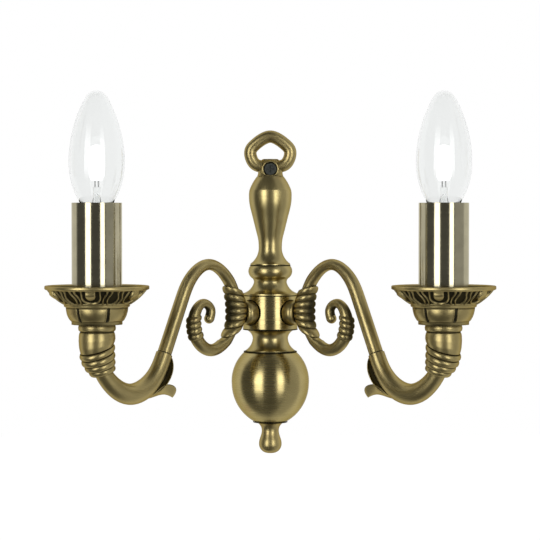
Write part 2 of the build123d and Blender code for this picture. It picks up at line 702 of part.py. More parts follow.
def bulb_glass():
    outside = bulb_profile(0.0)
    inside = bulb_profile(GLASS_THICK)
    return turned(
        *outside,
        Line(outside[-1] @ 1, inside[-1] @ 1),
        *inside,
        Line(inside[0] @ 0, outside[0] @ 0),
    )


def bulb_cap():
    """The lamp's screw cap: a thin shell with a skirt that holds the glass."""
    return turned(
        Line((4.6, LAMP_TIP + 4.4), (CAP_R, LAMP_TIP + 5.4)),
        Line((CAP_R, LAMP_TIP + 5.4), (CAP_R, GLASS_LOW - 1.8)),
        Line((CAP_R, GLASS_LOW - 1.8), (7.4, GLASS_LOW)),
        Line((7.4, GLASS_LOW), (5.6, GLASS_LOW)),
        Line((5.6, GLASS_LOW), (5.6, LAMP_TIP + 5.6)),
        Line((5.6, LAMP_TIP + 5.6), (4.6, LAMP_TIP + 5.6)),
        Line((4.6, LAMP_TIP + 5.6), (4.6, LAMP_TIP + 4.4)),
    )


def bulb_insulator():
    return turned(
        Line((0, LAMP_TIP + 1.2), (3.0, LAMP_TIP + 1.2)),
        Line((3.0, LAMP_TIP + 1.2), (4.6 - GAP, LAMP_TIP + 4.4)),
        Line((4.6 - GAP, LAMP_TIP + 4.4), (4.6 - GAP, LAMP_TIP + 5.6)),
        Line((4.6 - GAP, LAMP_TIP + 5.6), (0, LAMP_TIP + 5.6)),
        Line((0, LAMP_TIP + 5.6), (0, LAMP_TIP + 1.2)),
    )


def bulb_contact():
    return turned(
        Line((0, LAMP_TIP), (1.4, LAMP_TIP)),
        ThreePointArc((1.4, LAMP_TIP), (2.2, LAMP_TIP + 0.4), (2.6, LAMP_TIP + 1.2)),
        Line((2.6, LAMP_TIP + 1.2), (0, LAMP_TIP + 1.2)),
        Line((0, LAMP_TIP + 1.2), (0, LAMP_TIP)),
    )


STEM_TOP = 82.0
CAPSULE_LOW = 86.0
CAPSULE_HIGH = 108.0
CAPSULE_R = 4.6


def bulb_stem():
    """The glass stem: a flare on the cap's rim that draws up to a flat pinch."""
    return turned(
        Line((5.6, GLASS_LOW), (6.2, GLASS_LOW)),
        Line((6.2, GLASS_LOW), (6.0, GLASS_LOW + 0.8)),
        ThreePointArc((6.0, GLASS_LOW + 0.8), (3.6, GLASS_LOW + 6.0), (2.4, STEM_TOP)),
        Line((2.4, STEM_TOP), (0, STEM_TOP)),
        Line((0, STEM_TOP), (0, STEM_TOP - 4.0)),
        Line((0, STEM_TOP - 4.0), (1.2, STEM_TOP - 5.0)),
        ThreePointArc((1.2, STEM_TOP - 5.0), (2.6, GLASS_LOW + 5.6), (5.6, GLASS_LOW)),
    )


def bulb_capsule():
    return turned(
        Line((0, CAPSULE_LOW), (3.2, CAPSULE_LOW)),
        Line((3.2, CAPSULE_LOW), (CAPSULE_R, CAPSULE_LOW + 3.0)),
        Line((CAPSULE_R, CAPSULE_LOW + 3.0), (CAPSULE_R, CAPSULE_HIGH - 4.0)),
        ThreePointArc((CAPSULE_R, CAPSULE_HIGH - 4.0), (3.2, CAPSULE_HIGH - 1.1), (0.9, CAPSULE_HIGH)),
        Line((0.9, CAPSULE_HIGH), (0, CAPSULE_HIGH)),
        Line((0, CAPSULE_HIGH), (0, CAPSULE_LOW)),
    )


def bulb_supports():
    """Two wires from the stem's pinch to the capsule's foot."""
    wires = []
    for x in (-1.3, 1.3):
        wires.append(Pos(x, 0, 0) * cylinder(0.45, STEM_TOP, CAPSULE_LOW))
    return wires


CANDLE_PIECES = {
    "drip_pan": drip_pan,
    "nipple": nipple,
    "pan_nut": pan_nut,
    "lampholder": lampholder,
    "lampholder_shell": lampholder_shell,
    "lampholder_contact": lampholder_contact,
    "candle_sleeve": candle_sleeve,
    "bulb_glass": bulb_glass,
    "bulb_cap": bulb_cap,
    "bulb_insulator": bulb_insulator,
    "bulb_contact": bulb_contact,
    "bulb_stem": bulb_stem,
    "bulb_capsule": bulb_capsule,
    "bulb_supports": bulb_supports,
}
ARM_PIECES = {"arm_scroll": arm_scroll, "arm_elbow": arm_elbow, "arm_nut": arm_nut}
COLUMN_PIECES = {
    "ring_hanger": ring_hanger,
    "fixing_screw": fixing_screw,
    "hub_drum": hub_drum,
    "ball": ball,
    "finial": finial,
    "clamp_rod": clamp_rod,
    "column_nuts": column_nuts,
    "wall_bracket": wall_bracket,
    "terminal_block": terminal_block,
    "terminal_screws": terminal_screws,
    "earth_screw": earth_screw,
    "earth_washer": earth_washer,
}


def grouped(shape):
    """One shape from a piece's solid, or from its list of identical solids."""
    return Compound(children=list(shape)) if isinstance(shape, list) else shape


def write_pair(shape, name):
    """Writes the right-hand piece and its mirror image on the left."""
    write(shape, f"right_{name}")
    write(mirror(shape, about=Plane.YZ), f"left_{name}")


def main():
    for name, make in COLUMN_PIECES.items():
        write(grouped(make()), name)
    write(column_piece(baluster_contour, HANGER_BOTTOM, BALUSTER_BOTTOM), "baluster")
    write(column_piece(reel_contour, BALUSTER_BOTTOM, REEL_BOTTOM), "upper_reel")
    write(column_piece(cove_contour, DRUM_BOTTOM, COVE_BOTTOM), "lower_cove")
    for name, make in ARM_PIECES.items():
        write_pair(make(), name)
    for name, make in CANDLE_PIECES.items():
        on_candle_axis = placed(Pos(CANDLE_REACH, 0, 0) * grouped(make()))
        write_pair(on_candle_axis, name)


main()
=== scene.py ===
"""Looks of the double arm wall sconce: antique brass castings, brushed sleeves and clear candle lamps.

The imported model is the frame. A piece that needs the casting's detail is built here as a mesh, in
millimetres in the row's frame, and stands for the CAD node of the same name. The rest keep their CAD
shape and get a material.
"""

import json
import math

import bmesh
import bpy
import numpy as np
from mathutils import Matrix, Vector


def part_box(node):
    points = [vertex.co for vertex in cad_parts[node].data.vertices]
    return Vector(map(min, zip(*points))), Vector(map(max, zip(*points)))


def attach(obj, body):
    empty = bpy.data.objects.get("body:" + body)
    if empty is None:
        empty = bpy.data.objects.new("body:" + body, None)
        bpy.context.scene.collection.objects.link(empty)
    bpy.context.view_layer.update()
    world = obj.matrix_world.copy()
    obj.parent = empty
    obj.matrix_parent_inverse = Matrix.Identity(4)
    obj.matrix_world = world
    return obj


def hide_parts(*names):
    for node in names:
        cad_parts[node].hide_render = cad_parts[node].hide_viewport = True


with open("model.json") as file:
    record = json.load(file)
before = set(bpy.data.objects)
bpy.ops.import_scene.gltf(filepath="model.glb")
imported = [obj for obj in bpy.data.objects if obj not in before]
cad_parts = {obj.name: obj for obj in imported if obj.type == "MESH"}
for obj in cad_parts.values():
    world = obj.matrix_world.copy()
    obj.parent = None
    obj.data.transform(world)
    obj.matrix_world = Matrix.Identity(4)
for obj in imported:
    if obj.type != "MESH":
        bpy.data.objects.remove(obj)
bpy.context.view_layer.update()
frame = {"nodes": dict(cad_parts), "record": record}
NODES = frame["nodes"]
MM = 0.001

# ---------------------------------------------------------------- places and settings
sleeve_low, sleeve_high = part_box("right_candle_sleeve")
AXIS_TO_WALL = 8.0  # from the column's axis
CANDLE = (sleeve_low + sleeve_high) / 2 / MM  # the right candle axis, read from the frame
ARM_TURN = math.atan2(CANDLE.x, -(CANDLE.y + AXIS_TO_WALL))  # between the arm's plane and the wall's normal
SIDES = {"right": 1, "left": -1}
ARM_SIDES = 64  # points round each ring of a swept bar
BALL_ROWS = 24  # points of a ball from pole to pole, and round it
BALL_SIDES = 36
END_TURNS = np.radians(np.linspace(8, 86, 12))  # of the rings that round off a bar's end
PATH_SAMPLES = 4000  # points by which a smooth path is measured
PATINA_LEVEL = 0.93  # how dark the scrolls, seams and leaves get. The ropes' grooves get darker


# ---------------------------------------------------------------- meshes from arrays
def mesh_object(name, points, faces, dark):
    """A smooth object from points in mm, with how dark the patina is at each of them."""
    mesh = bpy.data.meshes.new(name)
    mesh.from_pydata((np.asarray(points) * MM).tolist(), [], [tuple(int(i) for i in f) for f in faces])
    mesh.polygons.foreach_set("use_smooth", [True] * len(mesh.polygons))
    layer = mesh.attributes.new("dark", "FLOAT", "POINT")
    layer.data.foreach_set("value", np.asarray(dark, np.float32))
    mesh.validate()
    shell = bmesh.new()
    shell.from_mesh(mesh)
    bmesh.ops.recalc_face_normals(shell, faces=shell.faces[:])
    shell.to_mesh(mesh)
    shell.free()
    piece = bpy.data.objects.new(name, mesh)
    bpy.context.scene.collection.objects.link(piece)
    return piece


def grid_faces(rows, columns, wrap_rows=False):
    """Quads of a grid of points stored row by row, whose last column meets the first."""
    i = np.arange(rows if wrap_rows else rows - 1)
    j = np.arange(columns)
    i, j = np.meshgrid(i, j, indexing="ij")
    a = i * columns + j
    b = i * columns + (j + 1) % columns
    c = (i + 1) % rows * columns + (j + 1) % columns
    d = (i + 1) % rows * columns + j
    return np.stack([a, b, c, d], -1).reshape(-1, 4).tolist()


def fan(centre, ring, flip):
    """Triangles that close a ring of points about a centre point."""
    count = len(ring)
    faces = []
    for k in range(count):
        a, b = ring[k], ring[(k + 1) % count]
        faces.append((centre, b, a) if flip else (centre, a, b))
    return faces


def tube_mesh(rings):
    """Points and faces of a closed tube from its rings."""
    count, sides, _ = rings.shape
    points = rings.reshape(-1, 3)
    faces = grid_faces(count, sides)
    first, last = len(points), len(points) + 1
    points = np.vstack([points, rings[0].mean(0), rings[-1].mean(0)])
    faces += fan(first, list(range(sides)), True)
    faces += fan(last, list(range((count - 1) * sides, count * sides)), False)
    return points, faces


def unpatinated(points, faces):
    """A part without any patina of its own."""
    return points, faces, np.zeros(len(points))


def join_parts(parts):
    """One list of points, faces and darkness from several."""
    points, faces, dark = [], [], []
    for part_points, part_faces, part_dark in parts:
        start = sum(len(p) for p in points)
        points.append(part_points)
        faces += [tuple(i + start for i in face) for face in part_faces]
        dark.append(part_dark)
    return np.vstack(points), faces, np.concatenate(dark)


def finish_piece(piece, material, body, node):
    """Gives a piece its material and body, and lets it stand for its CAD node."""
    piece.data.materials.append(material)
    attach(piece, body)
    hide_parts(node)


# ---------------------------------------------------------------- smooth curves
def natural_cubic(knots, values):
    """The natural cubic spline through the rows of values at the knots, as a function."""
    count = len(knots)
    gap = np.diff(knots)
    system = np.eye(count)
    right = np.zeros_like(values)
    for i in range(1, count - 1):
        system[i, i - 1 : i + 2] = gap[i - 1], 2 * (gap[i - 1] + gap[i]), gap[i]
        right[i] = 6 * ((values[i + 1] - values[i]) / gap[i] - (values[i] - values[i - 1]) / gap[i - 1])
    bend = np.linalg.solve(system, right)

    def at(t):
        """The spline's rows at each t."""
        i = np.clip(np.searchsorted(knots, t, side="right") - 1, 0, count - 2)
        before, after, width = (knots[i + 1] - t)[:, None], (t - knots[i])[:, None], gap[i][:, None]
        cubic = (bend[i] * before**3 + bend[i + 1] * after**3) / (6 * width)
        low = (values[i] / width - bend[i] * width / 6) * before
        high = (values[i + 1] / width - bend[i + 1] * width / 6) * after
        return cubic + low + high

    return at


def distance_along(rows):
    """Distance along a path to each of its rows, by their first two values."""
    return np.concatenate([[0], np.cumsum(np.hypot(*np.diff(rows[:, :2], axis=0).T))])


def smooth_path(rows, step):
    """Rows of (reach, height, diameter) every step mm on a smooth curve through the given rows."""
    rows = np.array(rows, float)
    knots = distance_along(rows)
    dense = natural_cubic(knots, rows)(np.linspace(0, knots[-1], PATH_SAMPLES))
    length = distance_along(dense)
    even = np.linspace(0, length[-1], int(length[-1] / step) + 1)
    return np.stack([np.interp(even, length, dense[:, k]) for k in range(3)], -1), even


def smooth(value, low, high):
    """0 below low and 1 above high, or the other way round, with a soft start and end."""
    share = np.clip((value - low) / (high - low), 0, 1)
    return share * share * (3 - 2 * share)


# ---------------------------------------------------------------- bars swept along a path
def ring_angles(sides):
    """The angles of the points round a ring."""
    return np.linspace(0, 2 * math.pi, sides, endpoint=False)


def square_planes(path):
    """For each row of a path, the angle of the ring's plane that lies square to it."""
    along = np.gradient(path[:, :2], axis=0)
    return np.unwrap(np.arctan2(along[:, 0], -along[:, 1]))


def lean_into(planes, square, inside, along, fades):
    """How far rings lean from square to lie in the planes given inside a stretch.

    The lean fades out over the two lengths in fades, before and after the stretch."""
    lean = (planes - square + math.pi) % (2 * math.pi) - math.pi
    rows = np.flatnonzero(inside)
    first, last = rows[0], rows[-1]
    held = lean[np.clip(np.arange(len(along)), first, last)]
    before = smooth(along[first] - along, fades[0], 0)
    after = smooth(along - along[last], fades[1], 0)
    return held * before * after


def swept_rings(path, plane, flat, aside):
    """Rings of points (reach, side, height) about a path in the arm's plane.

    plane is the angle of each ring's plane, flat and aside are its half widths in and across the
    arm's plane, for each ring and side."""
    angle = ring_angles(flat.shape[1])
    out = flat * np.cos(angle)
    reach = path[:, :1] + out * np.cos(plane)[:, None]
    height = path[:, 1:2] + out * np.sin(plane)[:, None]
    return np.stack([reach, aside * np.sin(angle), height], -1)


def round_start(path):
    """The path, with rows before it that close the start of its bar with a hemisphere."""
    end, inner = path[0], path[1]
    out = (end[:2] - inner[:2]) / np.hypot(*(end[:2] - inner[:2]))
    rows = []
    for turn in END_TURNS:
        reach, height = end[:2] + out * end[2] / 2 * math.sin(turn)
        rows.append((reach, height, end[2] * math.cos(turn)))
    return np.vstack([rows[::-1], path])


def turned_bar(rows):
    """A bar turned about the arm's own axis, from (reach, radius) rows."""
    path = np.array([(reach, 0.0) for reach, _ in rows])
    size = np.repeat([[radius] for _, radius in rows], ARM_SIDES, axis=1)
    return unpatinated(*tube_mesh(swept_rings(path, square_planes(path), size, size)))


def sphere_part(centre, radius):
    """A ball that closes the end of a bar."""
    turn = np.linspace(0, math.pi, BALL_ROWS)[1:-1, None]
    angle = ring_angles(BALL_SIDES)
    across = np.sin(turn) * np.cos(angle)
    aside = np.sin(turn) * np.sin(angle)
    rings = np.stack([across, aside, np.cos(turn) + 0 * angle], -1)
    points, faces = tube_mesh(rings * radius + np.array(centre))
    return unpatinated(points, [tuple(reversed(face)) for face in faces])


def arm_to_row(points, side):
    """Turns (reach, side, height) points of an arm into the row's frame, right or left."""
    reach, aside, height = np.asarray(points).T
    x = reach * math.sin(ARM_TURN) + aside * math.cos(ARM_TURN)
    y = -reach * math.cos(ARM_TURN) + aside * math.sin(ARM_TURN) - AXIS_TO_WALL
    return np.stack([side * x, y, height], -1)


def build_arm_piece(name, parts):
    """The right-hand casting and its mirror image, each standing for its CAD node."""
    points, faces, dark = join_parts(parts)
    for word, side in SIDES.items():
        piece = mesh_object(f"{word}_{name}_cast", arm_to_row(points, side), faces, dark)
        finish_piece(piece, CAST, "fitting", f"{word}_{name}")


# ---------------------------------------------------------------- shader nodes
def new_material(name):
    """A node material, with its shader."""
    material = bpy.data.materials.new(name)
    material.use_nodes = True
    return material, material.node_tree, material.node_tree.nodes["Principled BSDF"]


def add(tree, kind, **settings):
    """Adds a shader node with its settings."""
    node = tree.nodes.new(kind)
    for key, value in settings.items():
        setattr(node, key, value)
    return node


def feed(tree, socket, value):
    """Gives a socket a number, an RGB colour or what another socket puts out."""
    if isinstance(value, tuple):
        socket.default_value = (*value, 1)
    elif isinstance(value, (int, float)):
        socket.default_value = value
    else:
        tree.links.new(value, socket)


def noise(tree, scale, detail, stretch=None):
    """Noise in object space, with scale in waves per metre."""
    place = add(tree, "ShaderNodeTexCoord").outputs["Object"]
    if stretch:
        mapping = add(tree, "ShaderNodeMapping")
        mapping.inputs["Scale"].default_value = stretch
        tree.links.new(place, mapping.inputs["Vector"])
        place = mapping.outputs["Vector"]
    texture = add(tree, "ShaderNodeTexNoise")
    texture.inputs["Scale"].default_value = scale
    texture.inputs["Detail"].default_value = detail
    tree.links.new(place, texture.inputs["Vector"])
    return texture.outputs["Fac"]


def ramp(tree, value, low, high, out_low=0.0, out_high=1.0):
    """Maps value from low..high to out_low..out_high, clamped."""
    node = add(tree, "ShaderNodeMapRange")
    for key, number in (("From Min", low), ("From Max", high), ("To Min", out_low), ("To Max", out_high)):
        node.inputs[key].default_value = number
    tree.links.new(value, node.inputs["Value"])
    return node.outputs["Result"]


def math_node(tree, operation, a, b):
    """A sum, product or other operation on two values."""
    node = add(tree, "ShaderNodeMath", operation=operation)
    for socket, value in zip(node.inputs, (a, b)):
        feed(tree, socket, value)
    return node.outputs[0]


def mix_colour(tree, factor, a, b):
    """Mixes two colours, given as RGB or as sockets."""
    node = add(tree, "ShaderNodeMix", data_type="RGBA")
    tree.links.new(factor, node.inputs["Factor"])
    feed(tree, node.inputs[6], a)
    feed(tree, node.inputs[7], b)
    return node.outputs[2]


def mix_value(tree, factor, a, b):
    """Mixes two values, given as numbers or as sockets."""
    node = add(tree, "ShaderNodeMix", data_type="FLOAT")
    tree.links.new(factor, node.inputs["Factor"])
    feed(tree, node.inputs[2], a)
    feed(tree, node.inputs[3], b)
    return node.outputs[0]


def mix_shaders(tree, factor, a, b):
    """A node that mixes two shaders."""
    node = add(tree, "ShaderNodeMixShader")
    tree.links.new(factor, node.inputs[0])
    tree.links.new(a.outputs[0], node.inputs[1])
    tree.links.new(b.outputs[0], node.inputs[2])
    return node


def two_shades(tree, factor, share, colour):
    """From a darker share of a colour to the colour itself."""
    return mix_colour(tree, factor, tuple(share * c for c in colour), colour)


BUMP_DEPTH = 0.02  # mm


def add_bump(tree, height, strength):
    """A fine bump from a height."""
    node = add(tree, "ShaderNodeBump")
    node.inputs["Strength"].default_value = strength
    node.inputs["Distance"].default_value = BUMP_DEPTH * MM
    tree.links.new(height, node.inputs["Height"])
    return node


# ---------------------------------------------------------------- materials
SLEEVE_BRASS = (0.42, 0.385, 0.265)  # linear colours
TURNED_BRASS = (0.42, 0.345, 0.155)
CAST_BRASS = (0.42, 0.34, 0.15)
BRASS_RED = (0.33, 0.20, 0.09)
PATINA = (0.022, 0.021, 0.014)
CAST_RIM = (0.5, 0.42, 0.3)  # tint of what the metal reflects at a low angle
TURNED_RIM = (0.6, 0.54, 0.4)
SLEEVE_RIM = (0.9, 0.88, 0.8)
BLOTCHES = 70  # waves per metre of the noises
REDDISH = 110
PITS = 350
GRAIN = 900
BRUSH_LINES = 1700
BRUSH_STRETCH = (0.012, 0.012, 1)  # draws the grain out into level lines
BRUSH_PULL = 0.7  # anisotropy
BRUSH_TURN = 0.25
NOISE_RANGE = (0.3, 0.7)  # the noise values that a ramp spreads out
CREVICE = 2.2  # reach, in mm, within which a face darkens its neighbour
CREVICE_RANGE = (0.82, 0.35)  # how open a face is where that patina starts and where it is full
CREVICE_LEVEL = 0.9
EDGE_RADIUS = 0.3  # of the worn edges, in mm
LAMP_GLOW = 1.25
GLASS_TINT = (0.93, 0.938, 0.934)
GLASS_INDEX = 1.48


def patina(tree):
    """How dark the patina is: in crevices, and where a mesh says so."""
    crevice = add(tree, "ShaderNodeAmbientOcclusion", samples=8)
    crevice.inputs["Distance"].default_value = CREVICE * MM
    hidden = ramp(tree, crevice.outputs["AO"], *CREVICE_RANGE, 0.0, CREVICE_LEVEL)
    recess = add(tree, "ShaderNodeAttribute", attribute_name="dark").outputs["Fac"]
    return math_node(tree, "MAXIMUM", hidden, recess)


def worn_colour(tree, colour, blotch, dark):
    """Two soft shades of a brass with faint reddish spots, and patina where it is dark."""
    base = two_shades(tree, ramp(tree, noise(tree, BLOTCHES, 3), 0.35, 0.65), 0.84, colour)
    red = ramp(tree, noise(tree, REDDISH, 2), 0.62, 0.8, 0.0, blotch)
    base = mix_colour(tree, red, base, BRASS_RED)
    return mix_colour(tree, dark, base, PATINA)


def brass(name, colour, rim, roughness, brushed=0.0, blotch=0.35):
    """Antique brass, black in its recesses. brushed is the strength of its level brush lines."""
    material, tree, shader = new_material(name)
    dark = patina(tree)
    tree.links.new(worn_colour(tree, colour, blotch, dark), shader.inputs["Base Color"])
    shader.inputs["Metallic"].default_value = 1.0
    shader.inputs["Specular Tint"].default_value = (*rim, 1)
    if brushed:
        shader.inputs["Anisotropic"].default_value = BRUSH_PULL
        shader.inputs["Anisotropic Rotation"].default_value = BRUSH_TURN
        grain = noise(tree, BRUSH_LINES, 3, BRUSH_STRETCH)
        relief = add_bump(tree, grain, brushed)
        spread = 0.05
    else:
        grain = noise(tree, GRAIN, 2)
        relief = add_bump(tree, noise(tree, PITS, 1), 0.12)
        spread = 0.025
    rough = ramp(tree, grain, *NOISE_RANGE, roughness - spread, roughness + spread)
    rough = math_node(tree, "ADD", rough, ramp(tree, dark, 0, 1, 0.0, 0.2))
    tree.links.new(rough, shader.inputs["Roughness"])
    edge = add(tree, "ShaderNodeBevel", samples=4)
    edge.inputs["Radius"].default_value = EDGE_RADIUS * MM
    tree.links.new(edge.outputs["Normal"], relief.inputs["Normal"])
    tree.links.new(relief.outputs["Normal"], shader.inputs["Normal"])
    return material


def metal(name, colour, roughness):
    """Plain plated or bright metal with a faint grain."""
    material, tree, shader = new_material(name)
    shade = ramp(tree, noise(tree, GRAIN, 3), *NOISE_RANGE)
    tree.links.new(two_shades(tree, shade, 0.82, colour), shader.inputs["Base Color"])
    rough = ramp(tree, shade, 0, 1, roughness - 0.05, roughness + 0.08)
    tree.links.new(rough, shader.inputs["Roughness"])
    shader.inputs["Metallic"].default_value = 1.0
    return material


def plastic(name, colour, roughness):
    """Moulded plastic or glazed insulation with a fine skin."""
    material, tree, shader = new_material(name)
    shade = ramp(tree, noise(tree, 300, 2), *NOISE_RANGE)
    tree.links.new(two_shades(tree, shade, 0.93, colour), shader.inputs["Base Color"])
    shader.inputs["Roughness"].default_value = roughness
    skin = add_bump(tree, noise(tree, 2500, 2), 0.05)
    tree.links.new(skin.outputs["Normal"], shader.inputs["Normal"])
    return material


def clear_glass(name):
    """The lamps' clear envelope."""
    material, tree, shader = new_material(name)
    shader.inputs["Base Color"].default_value = (*GLASS_TINT, 1)
    shader.inputs["Transmission Weight"].default_value = 1.0
    shader.inputs["IOR"].default_value = GLASS_INDEX
    tree.links.new(ramp(tree, noise(tree, 60, 2), *NOISE_RANGE, 0.0, 0.02), shader.inputs["Roughness"])
    return material


def glowing(name):
    """The frosted inner lamp, lit."""
    material, tree, shader = new_material(name)
    shader.inputs["Base Color"].default_value = (0.95, 0.95, 0.95, 1)
    shader.inputs["Roughness"].default_value = 0.35
    shader.inputs["Emission Strength"].default_value = LAMP_GLOW
    glow = ramp(tree, noise(tree, 250, 3), 0.35, 0.7)
    colour = mix_colour(tree, glow, (0.86, 0.87, 0.88), (1.0, 1.0, 1.0))
    tree.links.new(colour, shader.inputs["Emission Color"])
    return material


CAST = brass("cast_brass", CAST_BRASS, CAST_RIM, 0.36)
TURNED = brass("turned_brass", TURNED_BRASS, TURNED_RIM, 0.3)
BRUSHED = brass("brushed_brass", TURNED_BRASS, TURNED_RIM, 0.27, brushed=0.5)
BRUSHED_NODES = ("ball", "hub_drum")
MATERIALS = {
    "cast_brass": CAST,
    "turned_brass": TURNED,
    "sleeve_brass": brass("sleeve_brass", SLEEVE_BRASS, SLEEVE_RIM, 0.16, brushed=0.3, blotch=0.0),
    "dark_steel": metal("dark_steel", (0.085, 0.09, 0.08), 0.42),
    "zinc_steel": metal("zinc_steel", (0.55, 0.56, 0.57), 0.35),
    "contact_brass": metal("contact_brass", (0.72, 0.5, 0.2), 0.25),
    "holder_plastic": plastic("holder_plastic", (0.75, 0.73, 0.66), 0.5),
    "terminal_plastic": plastic("terminal_plastic", (0.78, 0.78, 0.74), 0.45),
    "lamp_glass": clear_glass("lamp_glass"),
    "lamp_capsule": glowing("lamp_capsule"),
    "cap_metal": metal("cap_metal", (0.6, 0.6, 0.58), 0.3),
    "insulator": plastic("insulator", (0.02, 0.02, 0.025), 0.2),
    "solder": metal("solder", (0.45, 0.45, 0.45), 0.5),
    "wire": metal("wire", (0.5, 0.5, 0.5), 0.3),
}


def dress_cad_nodes():
    """Gives each CAD node the material of its slot, and the brushed ones their brush lines."""
    slots = {part["node"]: part["material_slot"] for part in frame["record"]["subparts"]}
    for name, node in NODES.items():
        node.data.materials.clear()
        node.data.materials.append(BRUSHED if name in BRUSHED_NODES else MATERIALS[slots[name]])


# ---------------------------------------------------------------- the ring hanger
# the right half of the loop's middle line, as (x, height), from the top round to the foot
RING_LINE = [
    (0.0, 117.4),
    (4.6, 116.0),
    (9.9, 112.2),
    (13.1, 108.2),
    (12.8, 103.2),
    (9.6, 98.6),
    (4.4, 97.4),
    (0.0, 97.4),
]
RING_BAR = 4.15  # radius of its bar
RING_STEP = 0.4
# the foot's height, half width and half depth
RING_FOOT = [
    (90.8, 8.3, 7.4),
    (91.3, 8.6, 7.6),
    (93.4, 8.2, 6.2),
    (96.0, 9.0, 5.0),
    (99.5, 8.2, 4.2),
    (102.4, 5.0, 3.4),
]
FOOT_ROWS = 60
# the boss round the screw, as (radius, distance in front of the wall)
RING_BOSS = [
    (0.1, 13.4),
    (4.6, 13.4),
    (4.6, 15.0),
    (4.9, 15.4),
    (5.3, 15.4),
    (5.8, 14.9),
    (6.3, 12.0),
    (6.6, 8.0),
    (0.1, 8.0),
]
BOSS_FLOOR = RING_FOOT[0][0] + 0.1  # keeps the boss above the foot's underside


def ring_loop():
    """The rounded five-sided loop of round bar."""
    line = np.array(RING_LINE + [(-x, z) for x, z in RING_LINE[-2:0:-1]])
    line = np.vstack([line, line, line, line[:1]])  # of the three rounds, the middle one joins up smoothly
    path, _ = smooth_path([(*point, 2 * RING_BAR) for point in line], RING_STEP)
    third = len(path) // 3
    square = square_planes(path)[third : 2 * third]
    path = path[third : 2 * third]
    size = np.full((len(path), ARM_SIDES), RING_BAR)
    x, y, z = swept_rings(path, square, size, size).reshape(-1, 3).T
    return np.stack([x, y - AXIS_TO_WALL, z], -1), grid_faces(len(path), ARM_SIDES, wrap_rows=True)


def ring_foot():
    """The loop's flared foot, oval in plan."""
    turn = ring_angles(ARM_SIDES)
    knots = np.arange(len(RING_FOOT), dtype=float)
    rows = natural_cubic(knots, np.array(RING_FOOT))(np.linspace(0, knots[-1], FOOT_ROWS))
    height, half_width, half_depth = (rows[:, k : k + 1] for k in range(3))
    x = half_width * np.cos(turn)
    y = half_depth * np.sin(turn) - AXIS_TO_WALL
    return tube_mesh(np.stack([x, y, height + 0 * turn], -1))


def ring_boss():
    """The boss, with the recess that the screw's head sits in."""
    screw_low, screw_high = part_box("fixing_screw")
    screw_height = (screw_low.z + screw_high.z) / 2 / MM
    turn = ring_angles(ARM_SIDES)
    radius, forward = np.array(RING_BOSS).T[:, :, None]
    x = radius * np.cos(turn)
    z = np.maximum(screw_height + radius * np.sin(turn), BOSS_FLOOR)
    return tube_mesh(np.stack([x, -forward + 0 * turn, z], -1))


def build_ring():
    """The loop on its flared foot, with the boss for its screw."""
    parts = [unpatinated(*part) for part in (ring_loop(), ring_foot(), ring_boss())]
    piece = mesh_object("ring_hanger_cast", *join_parts(parts))
    finish_piece(piece, CAST, "fitting", "ring_hanger")


# ---------------------------------------------------------------- the column's joint lines
COLUMN = ["baluster", "upper_reel", "hub_drum", "lower_cove", "ball", "finial"]  # from the top
JOINT_LINE = 0.3  # half the width of the patina line in each joint
JOINT_RAISE = 0.1  # of its middle above the upper piece's low end
JOINT_SINK = 0.1  # of its middle below the surface
JOINT_NEAR = 0.6  # height within which the two pieces are measured
JOINT_SIDES = 12
JOINT_ROWS = 181


def joint_radius(names, height):
    """How wide the named pieces of the column are about a height."""
    outline = np.array([v.co[:] for name in names for v in NODES[name].data.vertices]) / MM
    near = outline[np.abs(outline[:, 2] - height) < JOINT_NEAR]
    return np.hypot(near[:, 0], near[:, 1] + AXIS_TO_WALL).max()


def build_joint_lines():
    """The dark line that patina leaves where two pieces of the column meet. It stops before the wall."""
    section = ring_angles(JOINT_SIDES)
    for upper, lower in zip(COLUMN, COLUMN[1:]):
        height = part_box(upper)[0].z / MM + JOINT_RAISE
        radius = joint_radius((upper, lower), height) - JOINT_SINK
        reach = math.acos(max(-1.0, -(AXIS_TO_WALL - 2 * JOINT_LINE) / radius))
        turn = np.linspace(-reach, reach, JOINT_ROWS)[:, None]
        size = radius + JOINT_LINE * np.cos(section)
        x, y = size * np.sin(turn), -AXIS_TO_WALL - size * np.cos(turn)
        rings = np.stack([x, y, height + JOINT_LINE * np.sin(section) + 0 * turn], -1)
        points, faces = tube_mesh(rings)
        piece = mesh_object(f"joint_line_{lower}", points, faces, np.ones(len(points)))
        piece.data.materials.append(TURNED)
        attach(piece, "fitting")


# ---------------------------------------------------------------- the arm castings
SEAM = (91.3, -24.0)
SEAM_LINE = 0.9  # width of the dark line where the two castings meet
ARM_PATH = [
    (53.4, -2.4, 6.6),
    (52.5, 3.2, 6.2),
    (58.2, 7.4, 5.9),
    (64.8, 2.7, 7.2),
    (66.6, -8.0, 8.4),
    (62.4, -17.9, 8.4),
    (51.8, -23.4, 8.0),
    (41.2, -18.9, 8.3),
    (35.9, -13.4, 8.8),
    (32.3, -8.0, 9.0),
    (30.6, -2.0, 9.2),
    (30.5, 4.4, 9.2),
    (32.1, 11.6, 9.0),
    (38.4, 23.6, 8.0),
    (54.2, 32.6, 7.3),
    (70.0, 22.8, 8.5),
    (76.8, 10.1, 8.9),
    (84.9, -8.9, 9.1),
    (*SEAM, 9.2),
]
ARM_STEP = 0.3
FIRST_PART = 0.4  # share of the path's rows from the curl's tip round the scroll and just onto the rope
MOST_STRETCH = 0.84  # least cosine by which a leaning ring is widened
ARM_STUB = [(17.2, 8.0), (17.8, 8.1), (22.0, 8.1), (23.6, 7.6), (24.6, 6.0)]  # (reach, radius)
CURL_BALL = 3.25  # radius of the ball at the curl's tip
CURL_BALL_SHIFT = (0.4, 0.3)  # outwards and down from the tip

STRAND_ROUND = 0.97  # how much of a half circle a strand's section is
GROOVE_START = 0.72  # where its groove begins to darken, and over how much
GROOVE_WIDTH = 0.26

